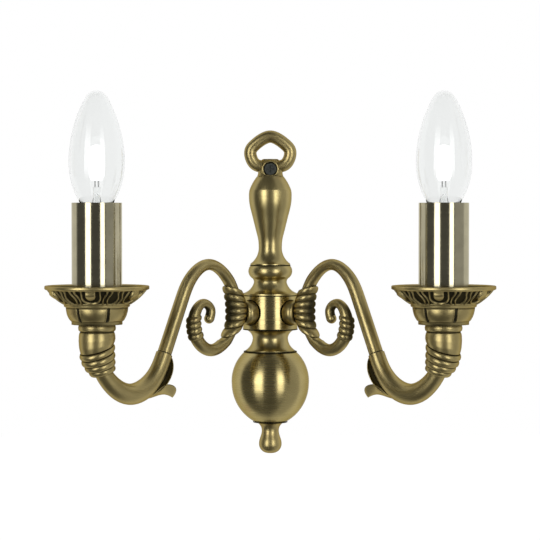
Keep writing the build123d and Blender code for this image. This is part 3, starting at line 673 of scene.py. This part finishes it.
ROPE_FAN = (-23.0, 2.0)  # where the planes between the rope's strands would meet
ROPE_SLOPES = (12.4, -13.0)  # of its first and last strand, in degrees
ROPE_STRANDS = 7
ROPE_OUTER = [7.1, 7.5, 6.7]  # radius at its top, middle and foot
ROPE_DEPTH = 1.7
ROPE_REACH = 43  # it lies nearer the column than this
ROPE_ASIDE = 0.96  # its width across the arm's plane, as a share of the width in it
ROPE_FADES = (15.0, 26.0)  # over which its rings turn square again, below and above it
ROPE_HUB_SIDE = (0.95, 0.55)  # where its grooves run out towards the hub, by the cosine round a ring

SMALL_ROPE = (-15.4, -0.8)  # heights of the roped stretch on the scroll's outer side
SMALL_ROPE_SLOPES = (-21.0, -10.0)  # of its strands, at those heights
SMALL_ROPE_STRANDS = 4
SMALL_ROPE_OUTER = 5.2
SMALL_ROPE_DEPTH = 1.25
SMALL_ROPE_REACH = 58  # it lies further from the column than this
SMALL_ROPE_FADES = (8.0, 6.0)

# The scroll's patina. Its faces look towards the two centres. Each other pair is where the patina starts
# and where it is full, by height, by reach or by how squarely a face looks.
SCROLL_CENTRE = (50.0, 2.0)
CURL_CENTRE = (58.0, 0.0)
BACK_TOP = (30, 18)
BACK_FOOT = (-22, -14)
BACK_REACH = 52
BACK_FACING_IN = (0.5, 0.95)
OUTER_HEIGHTS = (-19, -13)
OUTER_REACH = (58, 62)
OUTER_FACING = (0.6, 0.98)
CURL_HEIGHTS = (-10, -4)
CURL_FACING = (0.4, 0.9)


def strand_bulge(phase, outer, depth):
    """Radius across a strand, whose phase runs from 0 to 1, and how deep in the groove it is."""
    across = np.clip(np.abs(2 * phase - 1), 0, 1)
    drop = 1 - np.sqrt(np.clip(1 - (STRAND_ROUND * across) ** 2, 0, 1))
    return outer - depth * drop, np.clip((across - GROOVE_START) / GROOVE_WIDTH, 0, 1)


def rope_share(path):
    """Where the rows of the arm's path lie on the rope, from 0 at its top to 1 at its foot."""
    slope = np.degrees(np.arctan2(path[:, 1] - ROPE_FAN[1], path[:, 0] - ROPE_FAN[0]))
    half = (ROPE_SLOPES[0] - ROPE_SLOPES[1]) / (ROPE_STRANDS - 1) / 2
    share = (ROPE_SLOPES[0] + half - slope) / (ROPE_SLOPES[0] - ROPE_SLOPES[1] + 2 * half)
    return share, (share > 0) & (share < 1) & (path[:, 0] < ROPE_REACH)


def in_first_part(path):
    """Which rows of the arm's path lie in its first part."""
    return np.arange(len(path)) < FIRST_PART * len(path)


def small_rope_share(path):
    """The same from the foot of the small rope to its top."""
    share = (path[:, 1] - SMALL_ROPE[0]) / (SMALL_ROPE[1] - SMALL_ROPE[0])
    return share, (share > 0) & (share < 1) & (path[:, 0] > SMALL_ROPE_REACH) & in_first_part(path)


def scroll_planes(path, along):
    """The planes of the arm's rings, and how far they lean to lie in the strands' planes."""
    square = square_planes(path)
    _, on_rope = rope_share(path)
    strands = math.pi + np.arctan2(path[:, 1] - ROPE_FAN[1], path[:, 0] - ROPE_FAN[0])
    lean = lean_into(strands, square, on_rope, along, ROPE_FADES)
    share, on_small_rope = small_rope_share(path)
    strands = np.radians(np.interp(share, [0, 1], SMALL_ROPE_SLOPES))
    lean = lean + lean_into(strands, square, on_small_rope, along, SMALL_ROPE_FADES)
    return square + lean, lean


def scroll_patina(path, plane):
    """Dark patina on the scroll's inner faces and on the outer side of its curl."""
    angle = ring_angles(ARM_SIDES)
    out_reach = np.cos(plane)[:, None] * np.cos(angle)
    out_height = np.sin(plane)[:, None] * np.cos(angle)

    def facing(centre):
        """How squarely each face looks towards a centre."""
        towards = np.array(centre) - path[:, :2]
        towards /= np.hypot(*towards.T)[:, None]
        return out_reach * towards[:, :1] + out_height * towards[:, 1:]

    reach, height = path[:, :1], path[:, 1:2]
    first_part = in_first_part(path)[:, None]
    on_back = smooth(height, *BACK_TOP) * smooth(height, *BACK_FOOT) * (reach < BACK_REACH)
    on_side = smooth(height, *OUTER_HEIGHTS) * smooth(reach, *OUTER_REACH) * first_part
    inner = smooth(facing(SCROLL_CENTRE), *BACK_FACING_IN) * on_back * ~first_part
    outer = smooth(out_reach, *OUTER_FACING) * on_side
    curl = smooth(facing(CURL_CENTRE), *CURL_FACING) * smooth(height, *CURL_HEIGHTS) * first_part
    return PATINA_LEVEL * np.maximum(np.maximum(inner, outer), curl)


def wind_rope(path, flat, aside, dark):
    """Presses the fanned strands into the arm's rings, with grooves that run out on the hub's side."""
    share, roped = rope_share(path)
    from_hub = smooth(np.cos(ring_angles(ARM_SIDES)), *ROPE_HUB_SIDE)
    outer = np.interp(share, [0, 0.5, 1], ROPE_OUTER)
    drop, groove = strand_bulge(share * ROPE_STRANDS % 1, 0, ROPE_DEPTH)
    size = outer[:, None] + drop[:, None] * from_hub
    flat[roped] = size[roped]
    aside[roped] = ROPE_ASIDE * size[roped]
    dark[roped] = np.maximum(dark, groove[:, None] * from_hub)[roped]


def wind_small_rope(path, flat, aside, dark):
    """Presses the strands of the small rope into the arm's rings."""
    share, roped = small_rope_share(path)
    size, groove = strand_bulge(share * SMALL_ROPE_STRANDS % 1, SMALL_ROPE_OUTER, SMALL_ROPE_DEPTH)
    flat[roped] = size[roped, None]
    aside[roped] = size[roped, None]
    dark[roped] = np.maximum(dark, groove[:, None])[roped]


def build_arm_scrolls():
    """One bar swept from the curl's tip, round the scroll and up the rope, over the arch and down."""
    path, _ = smooth_path(ARM_PATH, ARM_STEP)
    path = round_start(path)
    along = distance_along(path)
    plane, lean = scroll_planes(path, along)
    aside = np.repeat(path[:, 2:3] / 2, ARM_SIDES, axis=1)
    flat = aside / np.maximum(np.cos(lean), MOST_STRETCH)[:, None]
    dark = scroll_patina(path, plane)
    dark[along > along[-1] - SEAM_LINE] = PATINA_LEVEL
    wind_rope(path, flat, aside, dark)
    wind_small_rope(path, flat, aside, dark)
    points, faces = tube_mesh(swept_rings(path, plane, flat, aside))
    shade = np.concatenate([dark.ravel(), [0, 0]])
    tip_reach, tip_height, _ = ARM_PATH[0]
    ball_centre = (tip_reach + CURL_BALL_SHIFT[0], 0, tip_height - CURL_BALL_SHIFT[1])
    parts = [(points, faces, shade), turned_bar(ARM_STUB), sphere_part(ball_centre, CURL_BALL)]
    build_arm_piece("arm_scroll", parts)


# ---------------------------------------------------------------- the elbow castings
ELBOW_PATH = [
    (*SEAM, 10.7),
    (96.2, -34.2, 11.3),
    (104.4, -43.4, 12.8),
    (118.9, -48.2, 13.5),
    (133.6, -41.2, 11.8),
    (141.2, -31.4, 10.8),
    (144.4, -22.0, 10.6),
    (144.8, -12.0, 10.6),
    (144.8, -3.2, 10.6),
]
ELBOW_STEP = 0.22
# (distance below the casting's top along the path, radius)
SOCLE_PROFILE = [
    (0.0, 11.0),
    (0.3, 11.4),
    (2.0, 11.75),
    (3.6, 11.5),
    (4.1, 11.0),
    (4.4, 10.6),
    (4.9, 10.6),
    (5.3, 11.0),
    (7.0, 11.35),
    (9.5, 11.45),
    (12.5, 11.1),
    (15.2, 10.4),
]
SOCLE_GROOVE = (4.65, 0.5)  # place and width of the dark line under its ring
SOCLE_STRANDS = [(15.3, 11.3), (19.6, 10.9), (23.6, 9.9), (27.4, 8.4)]
SOCLE_STRAND = 4.1
SOCLE_STRAND_DEPTH = 1.5
SOCLE_SLOPE = -20.0  # of its strands, along the reach, in degrees
SOCLE_FADES = (8.0, 9.5)


def socle_radius(below_top, bar):
    """Radius and groove darkness at each distance below the casting's top."""
    size = bar.copy()
    shade = np.zeros_like(bar)
    rows = np.array(SOCLE_PROFILE)
    on_vase = below_top <= rows[-1, 0]
    size[on_vase] = np.interp(below_top[on_vase], rows[:, 0], rows[:, 1])
    place, width = SOCLE_GROOVE
    shade[on_vase] = np.exp(-(((below_top[on_vase] - place) / width) ** 2))
    for start, outer in SOCLE_STRANDS:
        phase = (below_top - start) / SOCLE_STRAND
        inside = (phase >= 0) & (phase < 1)
        bulge, groove = strand_bulge(phase, outer, SOCLE_STRAND_DEPTH)
        size[inside] = bulge[inside]
        shade[inside] = groove[inside]
    return size, shade


def build_arm_elbows():
    """One bar swept from the seam, round the bend and up into the rope collar, the vase and its ring."""
    path, along = smooth_path(ELBOW_PATH, ELBOW_STEP)
    below_top = along[-1] - along
    size, shade = socle_radius(below_top, path[:, 2] / 2)
    size = np.repeat(size[:, None], ARM_SIDES, axis=1)
    square = square_planes(path)
    strands = (below_top > SOCLE_STRANDS[0][0]) & (below_top < SOCLE_STRANDS[-1][0] + SOCLE_STRAND)
    plane = math.pi + math.radians(SOCLE_SLOPE)
    lean = lean_into(plane, square, strands, along, SOCLE_FADES)
    rings = swept_rings(path, square + lean, size / np.cos(lean)[:, None], size)
    points, faces = tube_mesh(rings)
    dark = np.concatenate([np.repeat(shade, ARM_SIDES), [0, 0]])
    build_arm_piece("arm_elbow", [(points, faces, dark)] + leaf_parts())


BLADE_THICK = 0.55
BLADE_STEP = 0.4
BLADE_COLUMNS = 25
# (reach, height) along the bottom of each blade, then its half width and depth from root to tip
UPRIGHT_BLADE = [(108.0, -51.0), (98.5, -48.6), (89.6, -41.5), (86.2, -34.0), (86.0, -26.4)]
UPRIGHT_WIDTHS = [3.5, 5.0, 5.6, 5.4]
UPRIGHT_DEPTHS = [0.5, 1.6, 2.2, 1.6]
DROOPING_BLADE = [(112.0, -51.6), (104.0, -51.2), (97.0, -49.9), (91.0, -49.6), (86.5, -50.9), (84.2, -52.0)]
DROOPING_WIDTHS = [3.5, 4.6, 5.0, 5.2]
DROOPING_DEPTHS = [0.2, 2.4, 6.4, 7.0]


def leaf_parts():
    """Two cupped blades on the bend's outer side, one upright and one that flares away from it."""
    upright = blade(UPRIGHT_BLADE, UPRIGHT_WIDTHS, UPRIGHT_DEPTHS)
    drooping = blade(DROOPING_BLADE, DROOPING_WIDTHS, DROOPING_DEPTHS)
    return [upright, drooping]


def blade(spine, widths, depths):
    """A thin trough along a spine of (reach, height) points, dark inside and rounded at its tip."""
    path, along = smooth_path([(*point, 1.0) for point in spine], BLADE_STEP)
    share = along / along[-1]
    tip = np.sqrt(np.clip(1 - share**7, 0, 1))
    half = tip * np.interp(share, np.linspace(0, 1, len(widths)), widths)
    depth = tip * np.interp(share, np.linspace(0, 1, len(depths)), depths)
    inward = square_planes(path) + math.pi
    across = np.linspace(-1, 1, BLADE_COLUMNS)
    layers = []
    for offset in (BLADE_THICK, -BLADE_THICK):
        rise = depth[:, None] * across**2 + offset * (1 - 0.6 * across**4)
        reach = path[:, :1] + rise * np.cos(inward)[:, None]
        height = path[:, 1:2] + rise * np.sin(inward)[:, None]
        layers.append(np.stack([reach, half[:, None] * across, height], -1))
    points, faces = tube_mesh(np.concatenate([layers[0], layers[1][:, ::-1]], axis=1))
    inside = PATINA_LEVEL * smooth(np.abs(across), 0.97, 0.86)
    inside = smooth(share, 1.0, 0.95)[:, None] * inside
    dark = np.concatenate([inside, np.zeros_like(inside)], axis=1)
    return points, faces, np.concatenate([dark.ravel(), [0, 0]])


# ---------------------------------------------------------------- the drip pans
# Outline of the pan as (radius, height), by stretches. Heights are above the row's origin.
PAN_FOOT = [(5.1, -3.2), (15.8, -3.2), (15.8, -1.5)]
PAN_BOWL = [(15.8, -1.5), (18.0, 2.6), (19.2, 7.3)]
PAN_RIDGE = [(19.4, 7.5), (20.2, 7.8), (20.6, 8.4), (20.4, 9.0), (20.6, 9.2)]
PAN_DISH = [(20.9, 9.3), (26.3, 13.1), (31.0, 18.3)]
PAN_RIM = [(31.8, 18.4), (32.5, 18.9), (32.5, 20.5), (32.1, 20.9), (31.4, 20.9), (30.4, 20.5)]
PAN_INSIDE = [(30.4, 20.5), (25.8, 15.8), (20.6, 12.6)]
PAN_WELL = [(20.6, 12.6), (13.4, 12.6), (13.4, -0.2), (5.1, -0.2)]
PAN_DARK = {"foot": 0.25, "ridge": 0.0, "rim": 0.0, "inside": 0.72, "well": 0.8}
PAN_COLUMNS = 840
PAN_TURNS = {"right": -11.0, "left": -2.8}  # azimuth of the tongue nearest the front, in degrees
DISH_LENGTH = math.dist(PAN_DISH[0], PAN_DISH[2]) * 1.02  # along its arc, nearly
RELIEF = 1.15  # how far the dish's ground lies below its lines
GROUND = -1.0  # the ground's height, as a share of the relief
LINE_TOP = 1.05  # height of a line above the ground
LINE_THICK = 0.55  # half width of the curved lines, which thicken towards the rim
LINE_THICKENING = 0.4
# azimuth of the two curved lines beside each tongue, from its middle, by their share of the way down
LINE_SHARES = [0.0, 0.2, 0.4, 0.6, 0.78, 1.0]
LINE_ANGLES = [[19.9, 19.7, 17.4, 16.4, 16.9, 18.6], [25.7, 25.6, 23.4, 22.5, 23.3, 26.2]]
OUTLINE_HALF = 5.9  # half width of the raised outline round a tongue, in mm
OUTLINE_STRAIGHT = 5.2
OUTLINE_END = 12.4  # how far down the dish its round end is
OUTLINE_THICK = 0.62
TONGUES = 6
TONGUE_HALF = 3.5
TONGUE_STRAIGHT = 3.3
TONGUE_CROWN = 2.7  # how far down it is thickest
TONGUE_END = 8.2
LOBE_BULGE = 0.7  # how far the bowl's lobes stand out, in mm
LOBE_GROOVE = 0.75  # depth of the grooves between them
LOBE_BORDER = 0.22  # height of the fine border beside each groove


def arc_through(points, count):
    """Points along the circle through three points."""
    (ax, ay), (bx, by), (cx, cy) = points
    d = 2 * (ax * (by - cy) + bx * (cy - ay) + cx * (ay - by))
    a2, b2, c2 = ax * ax + ay * ay, bx * bx + by * by, cx * cx + cy * cy
    ux = (a2 * (by - cy) + b2 * (cy - ay) + c2 * (ay - by)) / d
    uy = (a2 * (cx - bx) + b2 * (ax - cx) + c2 * (bx - ax)) / d
    start = math.atan2(ay - uy, ax - ux)
    end = math.atan2(cy - uy, cx - ux)
    turn = (end - start + math.pi) % (2 * math.pi) - math.pi
    angle = start + turn * np.linspace(0, 1, count)
    size = math.hypot(ax - ux, ay - uy)
    return np.stack([ux + size * np.cos(angle), uy + size * np.sin(angle)], -1)


def straight(points, step):
    """Points about every step along a line through the given points."""
    points = np.array(points, float)
    rows = [points[:1]]
    for a, b in zip(points, points[1:]):
        count = max(1, int(math.dist(a, b) / step))
        rows.append(a + (b - a) * np.linspace(0, 1, count + 1)[1:, None])
    return np.vstack(rows)


def pan_rows():
    """The pan's outline, with each row's stretch and its share of that stretch."""
    stretches = [
        ("foot", straight(PAN_FOOT, 2.5)),
        ("bowl", arc_through(PAN_BOWL, 30)[1:]),
        ("ridge", straight(PAN_RIDGE, 0.35)),
        ("dish", arc_through(PAN_DISH, 70)),
        ("rim", straight(PAN_RIM, 0.5)),
        ("inside", arc_through(PAN_INSIDE, 18)[1:]),
        ("well", straight(PAN_WELL, 4.0)[1:]),
    ]
    names = [name for name, rows in stretches for _ in rows]
    shares = [share for _, rows in stretches for share in np.linspace(0, 1, len(rows))]
    return np.vstack([rows for _, rows in stretches]), np.array(names), np.array(shares)


def bump(value, half):
    """A rounded ridge: 1 at 0, falling to 0 at half."""
    return np.clip(1 - (value / half) ** 2, 0, 1) ** 0.8


def distance_to_u(across, down, half, straight_part, end):
    """Signed distance, in mm, from a U whose round end is half an ellipse: negative inside."""
    below = np.clip(down - straight_part, 0, None) / (end - straight_part)
    return (np.sqrt((across / half) ** 2 + below**2) - 1) * half


def tongue_relief(across, down):
    """How far a tongue stands out of the ground, with a crown that falls off to its end and sides."""
    edge = distance_to_u(across, down, TONGUE_HALF, TONGUE_STRAIGHT, TONGUE_END)
    inside = smooth(edge, 0.05, -0.75)
    crown = 0.1 + 0.9 * smooth(down, 0.3, TONGUE_CROWN) - 0.75 * smooth(down, TONGUE_CROWN, TONGUE_END)
    crown = crown + 0.25 * (1 - (across / TONGUE_HALF) ** 2)
    return (1 + crown) * inside


def dish_relief(share, down, radius, angle):
    """How far the dish's underside stands out, and how dark it is, under the rim.

    share runs from the rim (0) to the ridge (1), down is in mm, angle is from the nearest tongue."""
    across = np.radians(np.abs(angle)) * radius
    height = np.full_like(across, GROUND)
    thick = LINE_THICK + LINE_THICKENING * smooth(share, 0.22, 0.05)
    for angles in LINE_ANGLES:
        middle = natural_cubic(np.array(LINE_SHARES), np.array(angles)[:, None])(share[:, 0])
        away = across - np.radians(middle) * radius
        height = np.maximum(height, GROUND + LINE_TOP * bump(away, thick))
    edge = distance_to_u(across, down, OUTLINE_HALF, OUTLINE_STRAIGHT, OUTLINE_END)
    height = np.maximum(height, GROUND + LINE_TOP * bump(edge, OUTLINE_THICK))
    height = np.maximum(height, GROUND + tongue_relief(across, down))
    height = np.maximum(height, GROUND + smooth(share, 0.9, 1.0))  # up to the ridge
    height = np.maximum(height, GROUND + smooth(share, 0.045, 0.01))  # and to the rim
    dark = smooth(height, -0.25, -0.8) * 0.96
    return height * RELIEF, dark


def bowl_relief(share, radius, angle):
    """Broad lobes that meet in grooves with a fine raised border. share runs upwards."""
    side = np.abs(angle)
    half = 180 / TONGUES
    groove = np.radians(half - side) * radius
    height = LOBE_BULGE * (1 - (side / half) ** 2) * np.sin(np.pi * np.clip(share * 0.85 + 0.12, 0, 1))
    height = height - LOBE_GROOVE * smooth(groove, 1.0, 0.55) + LOBE_BORDER * bump(groove - 1.35, 0.4)
    dark = np.maximum(0.95 * smooth(groove, 1.15, 0.75), 0.8 * smooth(share, 0.9, 0.99))
    return height * smooth(share, 0.0, 0.1), np.maximum(dark, 0.5 * smooth(share, 0.12, 0.0))


def pan_relief(rows, names, shares, angle):
    """How far each point of a pan stands out from its outline, and how dark it is."""
    height = np.zeros((len(rows), PAN_COLUMNS))
    dark = np.zeros_like(height)
    for name, level in PAN_DARK.items():
        dark[names == name] = level
    dish = names == "dish"
    share = 1 - shares[dish][:, None] + 0 * angle
    radius = rows[dish, :1] + 0 * angle
    height[dish], dark[dish] = dish_relief(share, share * DISH_LENGTH, radius, angle + 0 * share)
    bowl = names == "bowl"
    share = shares[bowl][:, None] + 0 * angle
    radius = rows[bowl, :1] + 0 * angle
    height[bowl], dark[bowl] = bowl_relief(share, radius, angle + 0 * share)
    return height, dark


def build_drip_pans():
    """The two pans, each turned about its candle axis as the photo shows it."""
    rows, names, shares = pan_rows()
    slope = np.gradient(rows, axis=0)
    slope /= np.hypot(*slope.T)[:, None]
    outward = np.stack([slope[:, 1], -slope[:, 0]], -1)
    azimuth = np.linspace(0, 360, PAN_COLUMNS, endpoint=False)
    turn = np.radians(azimuth)
    faces = grid_faces(len(rows), PAN_COLUMNS, wrap_rows=True)
    for word, side in SIDES.items():
        angle = (azimuth - PAN_TURNS[word] + 180 / TONGUES) % (360 / TONGUES) - 180 / TONGUES
        height, dark = pan_relief(rows, names, shares, angle)
        radius = rows[:, :1] + height * outward[:, :1]
        x = side * CANDLE.x + radius * np.sin(turn)
        y = CANDLE.y - radius * np.cos(turn)
        z = rows[:, 1:] + height * outward[:, 1:]
        points = np.stack([x, y, z], -1).reshape(-1, 3)
        piece = mesh_object(f"{word}_drip_pan_cast", points, faces, dark.ravel())
        finish_piece(piece, CAST, "fitting", f"{word}_drip_pan")


# ---------------------------------------------------------------- the stage
FLOOR_SIZE = 6
FLOOR_HEIGHT = -0.42
FLOOR_GLOW = 1.2
FLOOR_GLOW_SHARE = 0.7  # of what the camera sees of the floor
PAPER = ((0.93, 0.93, 0.93), (0.95, 0.95, 0.95))


def build_stage():
    """A pale floor well below the sconce. Reflections look through it into the studio."""
    bpy.ops.mesh.primitive_plane_add(size=FLOOR_SIZE, location=(0, 0, FLOOR_HEIGHT))
    floor = bpy.context.object
    floor.name = "floor"
    material, tree, shader = new_material("floor_paper")
    tone = ramp(tree, noise(tree, 3, 2), *NOISE_RANGE)
    tree.links.new(mix_colour(tree, tone, *PAPER), shader.inputs["Base Color"])
    shader.inputs["Roughness"].default_value = 0.9
    light_path = add(tree, "ShaderNodeLightPath").outputs
    white = add(tree, "ShaderNodeEmission")
    white.inputs["Strength"].default_value = FLOOR_GLOW
    seen = math_node(tree, "MULTIPLY", light_path["Is Camera Ray"], FLOOR_GLOW_SHARE)
    lit = mix_shaders(tree, seen, shader, white)
    clear = add(tree, "ShaderNodeBsdfTransparent")
    surface = mix_shaders(tree, light_path["Is Glossy Ray"], lit, clear)
    tree.links.new(surface.outputs[0], tree.nodes["Material Output"].inputs["Surface"])
    floor.data.materials.append(material)


# ---------------------------------------------------------------- the studio
# White beyond the sconce, dark behind the camera, with two tall soft lights and a grey side.
# Angles are degrees of azimuth from straight in front of the sconce, positive to its right.
FRONT_LEVEL = 0.13
SIDE_LEVEL = 0.55
SIDE_START = 43
SIDE_FADE = 6
BACK_FACING = (-0.06, -0.22)  # from the dark front to the white back, by the cosine to the camera's side
SOFT_LIGHTS = [(-35.5, 12.5, 4.0), (31.0, 9.5, 4.0)]  # middle, half width, brightness
LIGHT_EDGE = 1.5
LIGHT_RISE = (6.0, 20.0)  # middle and half height of their bright part
LIGHT_FADE = 8.0
HALO_RISE = 62.0  # where the halo above and below it ends
HALO_SHARE = 0.16


def window(tree, value, middle, half, soft):
    """1 within half of the middle and 0 beyond, softly."""
    away = math_node(tree, "ABSOLUTE", math_node(tree, "SUBTRACT", value, middle), 0)
    return ramp(tree, away, half + soft, half - soft)


def look_angles(tree):
    """The cosine to the camera's side, the azimuth and the rise of a direction, in degrees."""
    parts = add(tree, "ShaderNodeSeparateXYZ")
    tree.links.new(add(tree, "ShaderNodeTexCoord").outputs["Generated"], parts.inputs[0])
    forward = math_node(tree, "MULTIPLY", parts.outputs["Y"], -1.0)
    azimuth = math_node(tree, "ARCTAN2", parts.outputs["X"], forward)
    azimuth = math_node(tree, "MULTIPLY", azimuth, 180 / math.pi)
    rise = math_node(tree, "MULTIPLY", math_node(tree, "ARCSINE", parts.outputs["Z"], 0), 180 / math.pi)
    return forward, azimuth, rise


def build_studio():
    """The world: what the metal reflects, with plain white for the camera."""
    world = bpy.data.worlds.new("studio")
    bpy.context.scene.world = world
    world.use_nodes = True
    tree = world.node_tree
    background = tree.nodes["Background"]
    background.inputs["Color"].default_value = (1, 1, 1, 1)
    forward, azimuth, rise = look_angles(tree)
    level = ramp(tree, azimuth, SIDE_START, SIDE_START + SIDE_FADE, FRONT_LEVEL, SIDE_LEVEL)
    core = window(tree, rise, *LIGHT_RISE, LIGHT_FADE)
    halo = window(tree, rise, 0.0, HALO_RISE * 0.6, HALO_RISE * 0.4)
    shape = math_node(tree, "ADD", core, math_node(tree, "MULTIPLY", halo, HALO_SHARE))
    for middle, half, brightness in SOFT_LIGHTS:
        light = math_node(tree, "MULTIPLY", window(tree, azimuth, middle, half, LIGHT_EDGE), shape)
        level = math_node(tree, "MAXIMUM", level, math_node(tree, "MULTIPLY", light, brightness))
    level = mix_value(tree, ramp(tree, forward, *BACK_FACING), level, 1.0)
    light_path = add(tree, "ShaderNodeLightPath").outputs
    seen = math_node(tree, "MAXIMUM", light_path["Is Camera Ray"], light_path["Is Transmission Ray"])
    tree.links.new(mix_value(tree, seen, level, 1.0), background.inputs["Strength"])


# ---------------------------------------------------------------- the camera
CAMERA_DISTANCE = 1.300  # from the column's axis
CAMERA_HEIGHT = 0.0616
CAMERA_AIM = (-0.0002, -AXIS_TO_WALL * MM, 0.0281)
LENS = 129.3
SENSOR = 36.0


def build_camera():
    """A long lens in front of the sconce, a little above its middle."""
    camera = bpy.data.objects.new("camera", bpy.data.cameras.new("camera"))
    camera.location = (CAMERA_AIM[0], CAMERA_AIM[1] - CAMERA_DISTANCE, CAMERA_HEIGHT)
    aim = Vector(CAMERA_AIM) - camera.location
    camera.rotation_euler = aim.to_track_quat("-Z", "Y").to_euler()
    camera.data.lens = LENS
    camera.data.sensor_width = SENSOR
    bpy.context.scene.collection.objects.link(camera)
    bpy.context.scene.camera = camera


dress_cad_nodes()
build_ring()
build_joint_lines()
build_arm_scrolls()
build_arm_elbows()
build_drip_pans()
build_stage()
build_studio()
build_camera()
bpy.context.scene.view_settings.view_transform = "Standard"
